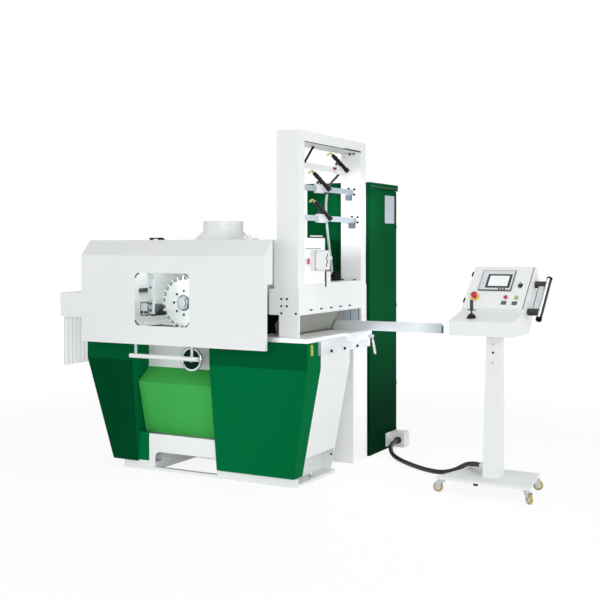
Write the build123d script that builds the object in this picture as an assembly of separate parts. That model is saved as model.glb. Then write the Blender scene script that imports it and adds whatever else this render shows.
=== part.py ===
"""Multi-rip saw: overhead gang arbor, chain feed, laser portal, electrical cabinet and wheeled console.

Millimetres. The origin is on the floor in the middle of the four anchor holes; +X is the infeed side,
+Y the rear and +Z up. The operator stands in front, at -Y.
"""
import os
from math import atan2, cos, degrees, hypot, pi, radians, sin, tan

from build123d import *

# Driving dimensions.
# Plate, sheet and clearances used all over the machine
weld_plate = 8.0
cover_sheet = 4.0
shaft_clearance = 0.05
slide_clearance = 0.3
cut_past = 2.0

# Base frame: plinth, body with leaning ends, foot recesses and fork-lift slot
anchor_x = 600.0
anchor_y = 460.0
anchor_hole_radius = 11.0
foot_plate = 20.0
plinth_half = 650.0
plinth_front = -505.0
plinth_height = 52.0
base_height = 880.0
body_front = -405.0
body_rear = 0.0
body_low_half = 628.0
body_top_half = 755.0
lean_drop = 163.0
recess_half = 560.0
recess_top = 160.0
fork_slot = (-403.0, 75.0)
tunnel_lip = 36.0
fork_slot_top = 122.0
fork_slot_corner = 38.0
apron_gap = 5.0
apron_fold = 150.0
service_hole_inset = 30.0
service_hole_right = 30.0
service_hole_low = 270.0
service_hole_drop = 250.0

# Front panels and service cover
panel_front = -580.0
panel_foot_front = -515.0
right_panel_inner_low = 79.0
right_panel_inner_top = 64.0
left_panel_low_reach = 104.0
left_panel_top_reach = 145.0
left_panel_low_width = 219.0
left_panel_top_width = 230.0
service_cover_inset = 235.0
service_cover_right = 58.0
service_cover_low = 235.0
service_cover_low_front = -444.0
service_cover_brow_drop = 306.0
service_cover_front = -526.0
service_cover_top_drop = 219.0

# Rear columns with the motor shelf
column_inner = 430.0
column_outer = 645.0
column_front = 288.0
column_rear = 505.0
column_foot = 20.0
column_hatch = ((470.0, 608.0), (50.0, 260.0))
shelf_drop = 530.0
shelf_thickness = 20.0

# Bed and infeed table
bed_thickness = 25.0
bed_overhang = 138.0
table_length = 352.0
bed_front = -560.0
table_front = -580.0
table_rear = 340.0

# Throat frame: header beam over the infeed with its pillars
header_depth = 207.0
header_front = -480.0
header_rear = 495.0
throat_height = 131.0
header_height = 159.0
header_lip = 75.0
pillar_depth = 138.0
front_pillar_thickness = 12.0
rear_pillar_front = 414.0

# Kickback fingers on their rod
finger_pivot_inset = 70.0
finger_pivot_rise = 26.0
finger_rod_radius = 8.0
finger_boss_radius = 17.0
finger_count = 30
finger_pitch = 21.0
finger_thickness = 19.0
finger_first_y = -446.0
finger_tip_gap = 8.0
rod_bracket = 12.0

# Saw chamber, hood and outfeed guard
chamber_sheet = 6.0
chamber_height = 590.0
chamber_rim = 40.0
mouth_front = -468.0
mouth_rear = 414.0
hood_reach = 105.0
hood_front = -650.0
hood_drop = 50.0
hood_brow_drop = 100.0
hood_gap = 1.0
hood_hem = 28.0
hood_end_lip = 26.0
hood_end_notch_rise = 30.0
hood_hinge_radius = 7.0
hood_hinge_length = 102.0
hood_hinge_inset = (486.0, 109.0)
window_x = (-457.0, -37.0)
window_rise = 45.0
window_height = 335.0
window_corner = 35.0
window_lap = 15.0
window_thickness = 5.0
handle_tube_radius = 14.0
handle_rod_radius = 11.0
handle_drop = 76.0
handle_x = (-502.0, 22.0)
handle_rod_inset = 46.0
guard_depth = 180.0
guard_rise = 83.0
guard_height = 159.0
strip_count = 10
strip_width = 84.0
strip_pitch = 87.0
strip_thickness = 3.0
strip_hang = 326.0
strip_rod_radius = 6.0
strip_rod_inset = 26.0
strip_rod_drop = 22.0

# Dust port on the roof
dust_x = -35.0
dust_y = -260.0
dust_radius = 130.0
dust_foot_width = 274.0
dust_foot_height = 60.0
dust_height = 122.0
dust_sheet = 2.5

# Arbor, blades and their drive
arbor_x = -263.0
blade_lift = 5.0
arbor_radius = 30.0
arbor_front = -408.0
blade_radius = 175.0
blade_thickness = 3.6
blade_teeth = 24
tooth_depth = 15.0
blade_first_y = -380.0
blade_pitch = 70.0
blade_count = 6
spacer_radius = 52.0
collar_radius = 72.0
nut_across = 78.0
nut_length = 20.0
quill_radius = 46.0
quill_y = (22.0, 420.0)
quill_relief = 8.0
quill_boss = 60.0
quill_web = 60.0
quill_pad_width = 180.0
quill_pad = 20.0
pulley_radius = 80.0
pulley_y = (434.0, 496.0)
belt_count = 3
belt_pitch = 19.0
belt_top_width = 15.0
belt_bottom_width = 9.0
belt_height = 10.0
belt_play = 0.3
motor_lift = 20.0
motor_radius = 150.0
motor_fin_depth = 12.0
motor_fins = 24
motor_y = (80.0, 404.0)
motor_shaft_radius = 24.0
motor_foot_half = 105.0
motor_bell = 60.0

# Chain feed in the bed
chain_left_inset = 173.0
chain_right_inset = 23.0
chain_y = (-330.0, -70.0)
chain_rise = 2.0
chain_pad = 18.0
chain_inner_radius = 58.0
chain_pads = 38
chain_pad_gap = 0.6
sprocket_teeth = 12
sprocket_tooth_depth = 7.0
chain_shaft_radius = 20.0
chain_slot_gap = 7.0
guide_rail_width = 30.0
gearbox_half = 78.0
gearbox_front = -545.0
gear_motor_radius = 62.0
gear_motor_length = 250.0

# Pressure beam with its rollers, lift screw and handwheel
roller_radius = 40.0
roller_ribs = 22
roller_rib_depth = 4.0
roller_journal = 12.0
roller_rise = 128.0
roller_y = (-420.0, 25.0)
outfeed_roller_x = -490.0
infeed_roller_x = -40.0
beam_arm_half = 30.0
beam_arm_rise = 227.0
beam_arm_height = 70.0
beam_cheek = 16.0
beam_cheek_half = 22.0
carriage_y = (440.0, 492.0)
carriage_rise = 207.0
carriage_height = 120.0
guide_radius = 15.0
guide_inset = 34.0
guide_headroom = 39.0
guide_bridge = 20.0
wheel_x = -111.0
wheel_shaft_gap = 7.0
wheel_radius = 70.0
wheel_rim = 10.0
wheel_y = -512.0
wheel_hub_radius = 20.0
wheel_spokes = 3
wheel_shaft_radius = 10.0
screw_radius = 12.0
screw_tail = 48.0
lift_box_half = 38.0

# Fence on its rail
rail_y = (-441.0, 270.0)
rail_drop = 83.0
rail_rise = 5.0
rail_thickness = 20.0
carriage_length = 320.0
carriage_wall = 29.0
carriage_skirt_drop = 33.0
fence_y = 190.0
fence_half = 20.0
fence_x = (545.0, 1310.0)
fence_height = 60.0
fence_nose = 26.0
lever_hub_radius = 11.0
lever_hub_length = 22.0
lever_rod_radius = 5.0
lever_reach = 125.0
lever_lean = 22.0
lever_knob_radius = 8.0

# Laser portal
tower_set_back = 5.0
tower_depth = 149.0
tower_height = 965.0
tower_post = 81.0
tower_lintel = 70.0
tower_sill = 28.0
rail_bar = 8.0
rail_bar_height = 35.0
laser_rail_inset = (100.0, 60.0, 35.0)
laser_rail_rise = (771.0, 627.0, 437.0)
laser_y = (300.0, -50.0, -80.0)
laser_radius = 13.0
laser_length = 156.0
laser_head = 20.0
laser_lens_radius = 16.0
laser_arm = 22.0
laser_carriage = 90.0
laser_carriage_wall = 9.0
laser_tilt = 45.0
gusset_y = (-399.0, -125.0)
gusset_rise = (28.0, 311.0)
gusset_depth = 40.0
switch_box_y = (-325.0, -125.0)
switch_box_rise = (109.0, 235.0)
switch_box_depth = 32.0
lamp_y = -377.0
lamp_rise = 167.0
lamp_radius = 15.0
portal_gland_radius = 14.0
portal_gland = 29.0
portal_cable_radius = 8.0

# Electrical cabinet
cabinet_x = (150.0, 638.0)
cabinet_y = (562.0, 1042.0)
cabinet_height = 1900.0
cabinet_sheet = 3.0
cabinet_plinth = 137.0
cabinet_cap = 43.0
cabinet_lap = 8.0
cabinet_rim = 30.0
door_depth = 20.0
door_reveal = 3.0
door_hinge_radius = 5.0
door_hinge_length = 60.0
door_hinge_count = 3
duct_x = (480.0, 600.0)
duct_z = (300.0, 420.0)
junction_x = (638.0, 740.0)
junction_y = (930.0, 1030.0)
junction_z = (5.0, 112.0)
gland_radius = 24.0
gland_length = 25.0
stand_gland = 46.0
gland_x = 700.0
gland_z = 57.0

# Console pedestal on casters
stand_x = 1705.0
column_half = 47.0
column_low_y = (-82.0, 44.0)
column_top_y = (-6.0, 44.0)
column_wall = 4.0
column_top = 931.0
stand_plate = (80.0, 96.0)
stand_margin = 26.0
caster_spots = ((1441.0, -172.0), (1957.0, -200.0), (1906.0, 140.0), (1541.0, 148.0))
caster_yaw = (180.0, -40.0, 10.0, 120.0)
caster_wheel_radius = 30.0
caster_wheel_width = 22.0
caster_trail = 24.0
caster_axle = 4.0
caster_leg = 3.0
caster_leg_gap = 1.0
caster_pin = 6.0
caster_race = 19.0
caster_plate = 3.0

# Console desk
console_x = (1488.0, 1872.0)
console_sheet = 3.0
desk_front = (-190.0, 1016.0)
desk_low_front = (-184.0, 931.0)
desk_back = (35.0, 1067.0)
slope_top = (310.0, 1325.0)
rear_brow = (385.0, 1240.0)
desk_low_rear = (165.0, 931.0)
lid_side_gap = 8.0
lid_end_gap = 10.0
lid_thickness = 12.0
lid_rim = 22.0
lid_hinge_radius = 5.0
lid_hinge_length = 34.0
lid_hinge_s = (79.0, 305.0)
screen_x = (-122.0, 84.0)
screen_s = (156.0, 329.0)
screen_height = 7.0
estop_spot = (-126.0, 98.0)
estop_radius = 20.0
estop_cap = 16.0
estop_disc = 30.0
estop_disc_height = 2.5
estop_stem = 11.0
estop_neck = 14.0
estop_travel = 5.0
start_spot = (131.0, 100.0)
stop_spot = (65.0, 101.0)
button_radius = 11.0
button_bezel = 15.0
button_bezel_height = 6.0
button_travel = 3.0
knob_spot = (135.0, 202.0)
knob_radius = 15.0
knob_height = 18.0
knob_spindle = 5.0
joystick_spot = (1602.0, -110.0)
joystick_height = 104.0
joystick_grip_radius = 10.0
joystick_rod_radius = 5.0
joystick_ball = 9.0
joystick_boot_radius = 24.0
joystick_boot_height = 20.0
side_bar_x = 1950.0
side_bar_radius = 17.0
side_bar_s = (-4.0, 346.0)
side_bar_depth = 63.0
side_clamp_s = (60.0, 290.0)
side_clamp_half = 15.0

# Cable routes, chosen points
console_cable_radius = 15.0
console_cable_points = (
    (700, 905, 57), (700, 842, 57), (706, 770, 40), (760, 660, 19), (850, 530, 16), (985, 400, 17),
    (1140, 290, 16), (1290, 222, 20), (1395, 192, 54), (1472, 164, 104), (1535, 122, 122), (1590, 66, 133),
    (1628, 20, 138))
portal_cable_points = (
    (514, 388, 1964), (514, 348, 1952), (514, 282, 1914), (514, 212, 1878), (514, 160, 1822),
    (514, 138, 1742), (514, 144, 1640), (514, 166, 1530), (514, 196, 1420), (514, 222, 1320),
    (514, 231, 1249))

# Sizes that follow
lean_top = base_height - lean_drop
service_hole_z = (service_hole_low, base_height - service_hole_drop)
service_cover_brow = base_height - service_cover_brow_drop
service_cover_top = base_height - service_cover_top_drop
left_panel_inner_low = -body_top_half + left_panel_low_width
left_panel_inner_top = -body_top_half + left_panel_top_width
service_cover_x = (-body_top_half + service_cover_inset, service_cover_right)
service_hole_x = (service_cover_x[0] + service_hole_inset, service_hole_right)
apron_x = (left_panel_inner_low + apron_gap, right_panel_inner_low - apron_gap)
apron_top = service_cover_low - apron_gap
lean_slope = (body_top_half - body_low_half) / (lean_top - plinth_height)
left_panel_outer_low = -body_low_half - left_panel_low_reach
left_panel_outer_top = -body_top_half - left_panel_top_reach
shelf_top = base_height - shelf_drop
table_top = base_height + bed_thickness
bed_left = -body_top_half - bed_overhang
bed_right = body_top_half - table_length
table_right = body_top_half
header_right = column_outer
header_left = header_right - header_depth
header_bottom = table_top + throat_height
header_top = header_bottom + header_height
header_lip_z = header_top - header_lip
pillar_left = header_right - pillar_depth
finger_pivot_x = header_right - finger_pivot_inset
finger_pivot_z = header_bottom + finger_pivot_rise
chamber_top = table_top + chamber_height
chamber_inner_top = chamber_top - chamber_sheet
hood_left = bed_left
hood_hinge_x = (bed_left + hood_hinge_inset[0], bed_right - hood_hinge_inset[1])
hood_right = bed_right + hood_reach
hood_bottom = base_height - hood_drop
hood_brow = chamber_top - hood_brow_drop
hood_end_notch_y = hood_front + hood_end_lip
hood_end_notch_z = header_top + hood_end_notch_rise
window_z = (table_top + window_rise, table_top + window_rise + window_height)
guard_left = bed_left - guard_depth
guard_low = table_top + guard_rise
guard_high = guard_low + guard_height
strip_bottom = guard_low - strip_hang
dust_top = chamber_top + dust_height
arbor_z = table_top + blade_lift + blade_radius
motor_z = shelf_top + motor_lift + motor_radius
chain_x = (bed_left + chain_left_inset, bed_right - chain_right_inset)
roller_z = table_top + roller_rise
beam_arm_z = (roller_z + beam_arm_rise, roller_z + beam_arm_rise + beam_arm_height)
carriage_z = (roller_z + carriage_rise, roller_z + carriage_rise + carriage_height)
guide_top = chamber_inner_top - guide_headroom
rail_z = (base_height - rail_drop, base_height + rail_rise)
carriage_skirt = rail_z[1] - carriage_skirt_drop
tower_right = header_right - tower_set_back
tower_left = tower_right - tower_depth
tower_top = header_top + tower_height
laser_rail_x = [tower_right - back for back in laser_rail_inset]
laser_rail_z = [header_top + rise for rise in laser_rail_rise]
gusset_z = tuple(header_top + rise for rise in gusset_rise)
switch_box_z = tuple(header_top + rise for rise in switch_box_rise)
lamp_z = header_top + lamp_rise
chain_top = table_top + chain_rise
chain_outer_radius = chain_inner_radius + chain_pad
chain_z = chain_top - chain_outer_radius
drive_x = chain_x[0] + chain_outer_radius
idler_x = chain_x[1] - chain_outer_radius
wheel_z = chain_z - chain_outer_radius - wheel_shaft_radius - wheel_shaft_gap
screw_low = wheel_z - screw_tail
pulley_mid = sum(pulley_y) / 2
carriage_mid = sum(carriage_y) / 2
hood_rear = bed_front - hood_gap
hinge_y = bed_front + hood_hinge_radius
hinge_z = chamber_top + hood_hinge_radius + hood_gap
handle_y = hood_front + hood_hem / 2
handle_z = hood_bottom - handle_drop
fence_bottom = table_top + chain_rise
tower_front = header_front
tower_rear = header_rear
portal_y = (tower_front + tower_post, tower_rear - tower_post)
portal_z = (header_top + tower_sill, tower_top - tower_lintel)
strip_rod_x = guard_left + strip_rod_inset
strip_rod_z = guard_low + strip_rod_drop


# Shape helpers
def block(x, y, z):
    """Box between the low and high value along each axis."""
    spans = (x, y, z)
    return Pos(*(sum(s) / 2 for s in spans)) * Box(*(s[1] - s[0] for s in spans))


def rod_x(span, y, z, radius):
    return Pos(sum(span) / 2, y, z) * Rot(0, 90, 0) * Cylinder(radius, span[1] - span[0])


def rod_y(x, span, z, radius):
    return Pos(x, sum(span) / 2, z) * Rot(90, 0, 0) * Cylinder(radius, span[1] - span[0])


def rod_z(x, y, span, radius):
    return Pos(x, y, sum(span) / 2) * Cylinder(radius, span[1] - span[0])


def outline(points):
    return make_face(Polyline(*points, close=True))


def slab_x(face, span):
    """Extrude a (Y, Z) outline between two X planes."""
    return Pos(span[0], 0, 0) * extrude(Plane.YZ * face, span[1] - span[0])


def slab_y(face, span):
    """Extrude an (X, Z) outline between two Y planes."""
    return Pos(0, span[1], 0) * extrude(Plane.XZ * face, span[1] - span[0])


def slab_z(face, span):
    """Extrude an (X, Y) outline between two Z planes."""
    return Pos(0, 0, span[0]) * extrude(face, span[1] - span[0])


def inset(face, amount):
    return offset(face, -amount, kind=Kind.INTERSECTION)


def grow(span, amount):
    return (span[0] - amount, span[1] + amount)


def mirrored_x(part):
    return mirror(part, Plane.YZ)


def ribbed_outline(radius, depth, count, share=0.5):
    """Round outline with flat-topped ribs, as on a fluted roller or a toothed drum."""
    points = []
    for i in range(count):
        for step, r in ((0, radius), (share, radius), (share, radius - depth), (1, radius - depth)):
            angle = 2 * pi * (i + step) / count
            points.append((r * cos(angle), r * sin(angle)))
    return outline(points)


def turned_y(points, x, z):
    """Turned part about an axis along Y, from (radius, y) points."""
    face = Plane.XY * outline(points)
    return Pos(x, 0, z) * revolve(face, Axis.Y)


# Base
def body_outline(wall):
    """Front outline of the base body with its leaning ends, moved in by the wall."""
    right = [(body_low_half - wall, plinth_height), (body_top_half - wall, lean_top),
             (body_top_half - wall, base_height + (cut_past if wall else 0))]
    left = [(-x, z) for x, z in reversed(right)]
    return outline(right + left)


def lean_x(z):
    """Half width of the body at a height on its leaning ends."""
    return body_low_half + lean_slope * (z - plinth_height)


def apron():
    """Folded plate between the panels, from the plinth's front up to the body under the service cover."""
    profile = [(plinth_front, 0), (plinth_front, apron_fold), (body_front, apron_top)]
    outer = slab_x(outline(profile + [(body_front, 0)]), apron_x)
    inner = inset(outline(profile + [(body_front + weld_plate, apron_top), (body_front + weld_plate, 0)]),
                  weld_plate)
    return outer - slab_x(inner, grow(apron_x, -weld_plate))


def fork_tunnel():
    corners = [(x, z) for z in (foot_plate, fork_slot_top) for x in fork_slot]
    face = outline([corners[0], corners[1], corners[3], corners[2]])
    face = fillet(face.vertices().sort_by(Axis.Y)[-2:], fork_slot_corner)
    return slab_y(face, (plinth_front - cut_past, body_rear + cut_past))


def base_frame():
    plinth = block((-plinth_half, plinth_half), (plinth_front, body_rear), (0, plinth_height))
    frame = plinth + slab_y(body_outline(0), (body_front, body_rear)) + apron()
    inside = (body_front + weld_plate, body_rear - weld_plate)
    hollow = slab_y(body_outline(weld_plate), inside)
    frame -= hollow & block((-plinth_half * 2, plinth_half * 2), inside, (recess_top, base_height + cut_past))
    frame -= fork_tunnel()
    frame -= block(fork_slot, (plinth_front + tunnel_lip, body_rear - tunnel_lip),
                   (-cut_past, foot_plate + cut_past))
    recess = block((recess_half, body_top_half), (plinth_front + weld_plate, body_rear + cut_past),
                   (foot_plate, recess_top))
    inner_half = recess_half - 2 * weld_plate
    recess_back = outline([(recess_half, foot_plate), (lean_x(foot_plate), foot_plate),
                           (lean_x(recess_top), recess_top), (recess_half, recess_top)])
    recess -= slab_y(recess_back, (body_rear - weld_plate, body_rear))
    pocket_y = (body_front + weld_plate, body_rear - weld_plate)
    pocket_z = (-cut_past, recess_top - 2 * weld_plate)
    frame -= recess + mirrored_x(recess)
    frame -= block((-inner_half, fork_slot[0] - weld_plate), pocket_y, pocket_z)
    frame -= block((fork_slot[1] + weld_plate, inner_half), pocket_y, pocket_z)
    frame -= block(service_hole_x, (body_front - cut_past, inside[0] + cut_past), service_hole_z)
    walls = (body_front - cut_past, body_rear + cut_past)
    for x in (drive_x, idler_x):
        frame -= rod_y(x, walls, chain_z, chain_shaft_radius + shaft_clearance)
    frame -= rod_y(wheel_x, walls, wheel_z, wheel_shaft_radius + shaft_clearance)
    for side in (-1, 1):
        frame -= rod_z(side * anchor_x, -anchor_y, (-cut_past, foot_plate + cut_past), anchor_hole_radius)
    return welded_parts(frame)


def welded_parts(frame):
    """The frame as the parts that are welded together: body, apron, and the plinth in three lengths."""
    reach = 2 * plinth_half
    apron_room = block(apron_x, (plinth_front - cut_past, body_front), (plinth_height, apron_top))
    depth = (plinth_front - cut_past, body_rear + cut_past)
    height = (-cut_past, recess_top)
    behind = frame - apron_room
    tunnel = grow(fork_slot, weld_plate)
    lengths = [(-reach, tunnel[0]), tunnel, (tunnel[1], reach)]
    plinth = [behind & block(span, depth, height) for span in lengths]
    return [behind - block((-reach, reach), depth, height), frame & apron_room, *plinth]


def sheet_cover(front, side, back, wall):
    """Folded sheet cover: a front outline (X, Z) crossed with a side profile (Y, Z), open at the back."""
    reach = 2 * plinth_half
    outer = extrude(Plane.XZ * outline(front), reach, both=True)
    outer &= slab_x(outline(side + [(back, side[-1][1]), (back, side[0][1])]), (-reach, reach))
    open_back = back + 2 * wall
    inner = extrude(Plane.XZ * inset(outline(front), wall), reach, both=True)
    inner &= slab_x(inset(outline(side + [(open_back, side[-1][1]), (open_back, side[0][1])]), wall),
                    (-reach, reach))
    return outer - inner


panel_side = [(panel_foot_front, plinth_height), (panel_front, lean_top), (panel_front, base_height)]


def base_panel_right():
    front = [(right_panel_inner_low, plinth_height), (body_low_half, plinth_height),
             (body_top_half, lean_top), (body_top_half, base_height), (right_panel_inner_top, base_height)]
    return sheet_cover(front, panel_side, body_front, cover_sheet)


def base_panel_left():
    front = [(left_panel_outer_low, plinth_height), (left_panel_inner_low, plinth_height),
             (left_panel_inner_top, base_height), (left_panel_outer_top, base_height),
             (left_panel_outer_top, lean_top)]
    return sheet_cover(front, panel_side, body_front, cover_sheet)


def service_cover():
    left, right = service_cover_x
    front = [(left, service_cover_low), (right, service_cover_low), (right, service_cover_top),
             (left, service_cover_top)]
    side = [(service_cover_low_front, service_cover_low), (service_cover_front, service_cover_brow),
            (body_front - cover_sheet, service_cover_top)]
    return sheet_cover(front, side, body_front, cover_sheet)


def rear_columns():
    shell = block((column_inner, column_outer), (column_front, column_rear), (0, base_height))
    shell -= block((column_inner + weld_plate, column_outer - weld_plate),
                   (column_front + weld_plate, column_rear - weld_plate),
                   (column_foot, base_height - weld_plate))
    shell -= block(column_hatch[0], (column_rear - 2 * weld_plate, column_rear + cut_past), column_hatch[1])
    shell -= rod_z(anchor_x, anchor_y, (-cut_past, column_foot + cut_past), anchor_hole_radius)
    shelf = block((-column_inner, column_inner), (body_rear, column_rear),
                  (shelf_top - shelf_thickness, shelf_top))
    return shell + mirrored_x(shell) + shelf


def chain_slot():
    return (chain_x[0] - chain_slot_gap, chain_x[1] + chain_slot_gap), \
           (chain_y[0] - chain_slot_gap, chain_y[1] + chain_slot_gap)


def bed():
    plate = block((bed_left, bed_right), (bed_front, column_rear), (base_height, table_top))
    slot_x, slot_y = chain_slot()
    through = (base_height - cut_past, table_top + cut_past)
    plate -= block(slot_x, slot_y, through)
    belt_half = pulley_radius + 3 * weld_plate
    plate -= block((arbor_x - belt_half, arbor_x + belt_half), grow(pulley_y, weld_plate / 2), through)
    plate -= rod_z(wheel_x, carriage_mid, through, screw_radius + slide_clearance)
    rail_top = chain_top - chain_pad
    rail_low = rail_top - guide_rail_width
    cross_low = rail_low - guide_rail_width / 2
    rails_x = (drive_x + chain_outer_radius, idler_x - chain_outer_radius)
    for y in (chain_y[0] + 2 * guide_rail_width, chain_y[1] - 2 * guide_rail_width):
        plate += block(rails_x, (y - guide_rail_width / 2, y + guide_rail_width / 2), (rail_low, rail_top))
    tie_y = (slot_y[0] - guide_rail_width, body_rear - weld_plate)
    for x in (rails_x[0] + guide_rail_width, sum(rails_x) / 2, rails_x[1] - guide_rail_width):
        tie_x = (x - guide_rail_width / 2, x + guide_rail_width / 2)
        plate += block(tie_x, tie_y, (cross_low, rail_low))
        plate += block(tie_x, (tie_y[0], slot_y[0] - cut_past), (rail_low, base_height))
        plate += block(tie_x, (slot_y[1] + cut_past, tie_y[1]), (rail_low, base_height))
    return plate


def infeed_table():
    return block((bed_right, table_right), (table_front, table_rear), (base_height, table_top))


# Throat and fingers
finger_rear_y = finger_first_y + (finger_count - 1) * finger_pitch + finger_thickness


def throat_frame():
    beam = block((header_left, header_right), (header_front, header_rear), (header_bottom, header_top))
    beam -= block((header_left + weld_plate, header_right - weld_plate),
                  (header_front + front_pillar_thickness, header_rear - weld_plate),
                  (header_bottom - cut_past, header_top - weld_plate))
    beam -= block((header_left - cut_past, header_left + 2 * weld_plate),
                  (header_front + front_pillar_thickness, rear_pillar_front),
                  (header_bottom - cut_past, header_lip_z))
    beam += block((pillar_left, header_right), (header_front, header_front + front_pillar_thickness),
                  (table_top, header_bottom))
    beam += block((header_left, header_right), (rear_pillar_front, header_rear), (base_height, header_bottom))
    bracket_y = (finger_rear_y + finger_pitch - finger_thickness, finger_rear_y + rod_bracket)
    beam += block((finger_pivot_x - 2 * finger_boss_radius, finger_pivot_x + 2 * finger_boss_radius),
                  bracket_y, (finger_pivot_z - finger_boss_radius, header_top - weld_plate))
    beam += rod_y(finger_pivot_x, (header_front + front_pillar_thickness, bracket_y[1]), finger_pivot_z,
                  finger_rod_radius)
    return beam


def finger_outline():
    """Kickback finger: boss at the rod, straight leading edge, bent trailing edge and a flat tip."""
    tip_z = table_top + finger_tip_gap - finger_pivot_z
    bend_z = tip_z / 2 - finger_boss_radius
    boss = finger_boss_radius
    return outline([(boss, 0), (boss, -boss), (-2 * boss, tip_z), (-6 * boss, tip_z), (-7 * boss, bend_z),
                    (-3.2 * boss, -boss / 2), (-boss, boss), (boss / 2, boss)])


def kickback_fingers():
    finger = slab_y(finger_outline(), (0, finger_thickness))
    finger -= rod_y(0, (-cut_past, finger_thickness + cut_past), 0, finger_rod_radius + shaft_clearance)
    return [Pos(finger_pivot_x, finger_first_y + i * finger_pitch, finger_pivot_z) * finger
            for i in range(finger_count)]


# Saw chamber
def saw_chamber():
    shell = block((bed_left, bed_right), (bed_front, column_rear), (table_top, chamber_top))
    shell -= block((bed_left + chamber_sheet, bed_right - chamber_sheet),
                   (bed_front + chamber_sheet, column_rear - chamber_sheet),
                   (table_top - cut_past, chamber_inner_top))
    shell -= block((bed_left + chamber_rim, bed_right - chamber_rim),
                   (bed_front - cut_past, bed_front + 2 * chamber_sheet),
                   (table_top - cut_past, chamber_top - chamber_rim))
    shell -= block((bed_left - cut_past, bed_right + cut_past), (mouth_front, mouth_rear),
                   (table_top - cut_past, header_bottom))
    shell -= block((dust_x - dust_radius, dust_x + dust_radius), (dust_y - dust_radius, dust_y + dust_radius),
                   (chamber_inner_top - cut_past, chamber_top + cut_past))
    for x in hood_hinge_x:
        for end in (0, 2):
            span = (x + end * hood_hinge_length / 3, x + (end + 1) * hood_hinge_length / 3 - slide_clearance)
            shell += rod_x(span, hinge_y, hinge_z, hood_hinge_radius)
            shell += block(span, (hinge_y, hinge_y + 3 * hood_hinge_radius), (chamber_top, hinge_z))
        shell += rod_x((x, x + hood_hinge_length - slide_clearance), hinge_y, hinge_z, hood_hinge_radius / 2)
    return shell


def dust_port():
    """Square foot lofted to a round spigot, rolled from sheet."""
    low = chamber_top
    neck = low + dust_foot_height

    def horn(wall):
        foot = Pos(dust_x, dust_y, low) * Rectangle(dust_foot_width - 2 * wall, dust_foot_width - 2 * wall)
        ring = Pos(dust_x, dust_y, neck) * Circle(dust_radius - wall)
        return loft([foot, ring]) + rod_z(dust_x, dust_y, (neck, dust_top), dust_radius - wall)

    port = horn(0) - horn(dust_sheet)
    port -= rod_z(dust_x, dust_y, (neck, dust_top + cut_past), dust_radius - dust_sheet)
    return port


def outfeed_guard():
    guard = block((guard_left, bed_left), (hood_front, rear_pillar_front), (guard_low, guard_high))
    guard -= block((guard_left + cover_sheet, bed_left + cut_past),
                   (hood_front + cover_sheet, rear_pillar_front - cover_sheet),
                   (guard_low - cut_past, guard_high - cover_sheet))
    guard += rod_y(strip_rod_x, (hood_front + cover_sheet, rear_pillar_front - cover_sheet), strip_rod_z,
                   strip_rod_radius)
    return guard


def curtain_strips():
    """Hanging strips, each looped round the rod at its top."""
    eye = strip_rod_radius + shaft_clearance
    strips = []
    for i in range(strip_count):
        low = hood_front + cover_sheet + strip_pitch - strip_width + i * strip_pitch
        y = (low, low + strip_width)
        strip = block((strip_rod_x - strip_thickness / 2, strip_rod_x + strip_thickness / 2), y,
                      (strip_bottom, strip_rod_z))
        strip += rod_y(strip_rod_x, y, strip_rod_z, eye + strip_thickness)
        strips.append(strip - rod_y(strip_rod_x, grow(y, cut_past), strip_rod_z, eye))
    return strips


# Hood
def hood_profile(wall, low):
    brow_run = hood_rear - hood_front
    rise = chamber_top - hood_brow
    lean = atan2(rise, brow_run)
    brow_z = hood_brow + wall * (tan(lean) - 1 / cos(lean))
    rear = hood_rear + (cut_past if wall else 0)
    top_z = brow_z + (rear - hood_front - wall) * tan(lean)
    return outline([(hood_front + wall, low), (hood_front + wall, brow_z), (rear, top_z), (rear, low)])


def hood():
    cover = slab_x(hood_profile(0, hood_bottom), (hood_left, hood_right))
    cover -= slab_x(hood_profile(cover_sheet, hood_bottom - cut_past),
                    (hood_left + cover_sheet, hood_right - cover_sheet))
    cover -= block((hood_right - 2 * cover_sheet, hood_right + cut_past),
                   (hood_end_notch_y, hood_rear + cut_past), (hood_bottom - cut_past, hood_end_notch_z))
    cover -= block((hood_left - cut_past, hood_left + 2 * cover_sheet),
                   (panel_front - hood_gap, hood_rear + cut_past),
                   (hood_bottom - cut_past, base_height + hood_gap))
    cover += block((hood_left, hood_right), (hood_front, hood_front + hood_hem),
                   (hood_bottom, hood_bottom + cover_sheet))
    pane = RectangleRounded(window_x[1] - window_x[0], window_z[1] - window_z[0], window_corner)
    cover -= slab_y(Pos(sum(window_x) / 2, sum(window_z) / 2) * pane,
                    (hood_front - cut_past, hood_front + 2 * cover_sheet))
    leaf_run = 4 * hood_hinge_radius
    slope = (hood_front - hood_rear, hood_brow - chamber_top)
    length = hypot(*slope)
    for x in hood_hinge_x:
        span = (x + hood_hinge_length / 3, x + 2 * hood_hinge_length / 3 - slide_clearance)
        knuckle = rod_x(span, hinge_y, hinge_z, hood_hinge_radius)
        foot = (hood_rear + slope[0] / length * leaf_run, chamber_top + slope[1] / length * leaf_run)
        leaf = outline([(hinge_y, hinge_z), (hinge_y, hinge_z + hood_hinge_radius),
                        (hood_rear, hinge_z), foot, (hood_rear, chamber_top)])
        knuckle += slab_x(leaf, span)
        bore = rod_x(grow(span, cut_past), hinge_y, hinge_z, hood_hinge_radius / 2 + shaft_clearance)
        cover += knuckle - bore
    return cover


def hood_window():
    return block(grow(window_x, window_lap), (hood_front + cover_sheet, hood_front + cover_sheet
                                              + window_thickness), grow(window_z, window_lap))


def hood_handle():
    handle = rod_x(handle_x, handle_y, handle_z, handle_tube_radius)
    for x in (handle_x[0] + handle_rod_inset, handle_x[1] - handle_rod_inset):
        handle += rod_z(x, handle_y, (handle_z, hood_bottom), handle_rod_radius)
    return handle


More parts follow.
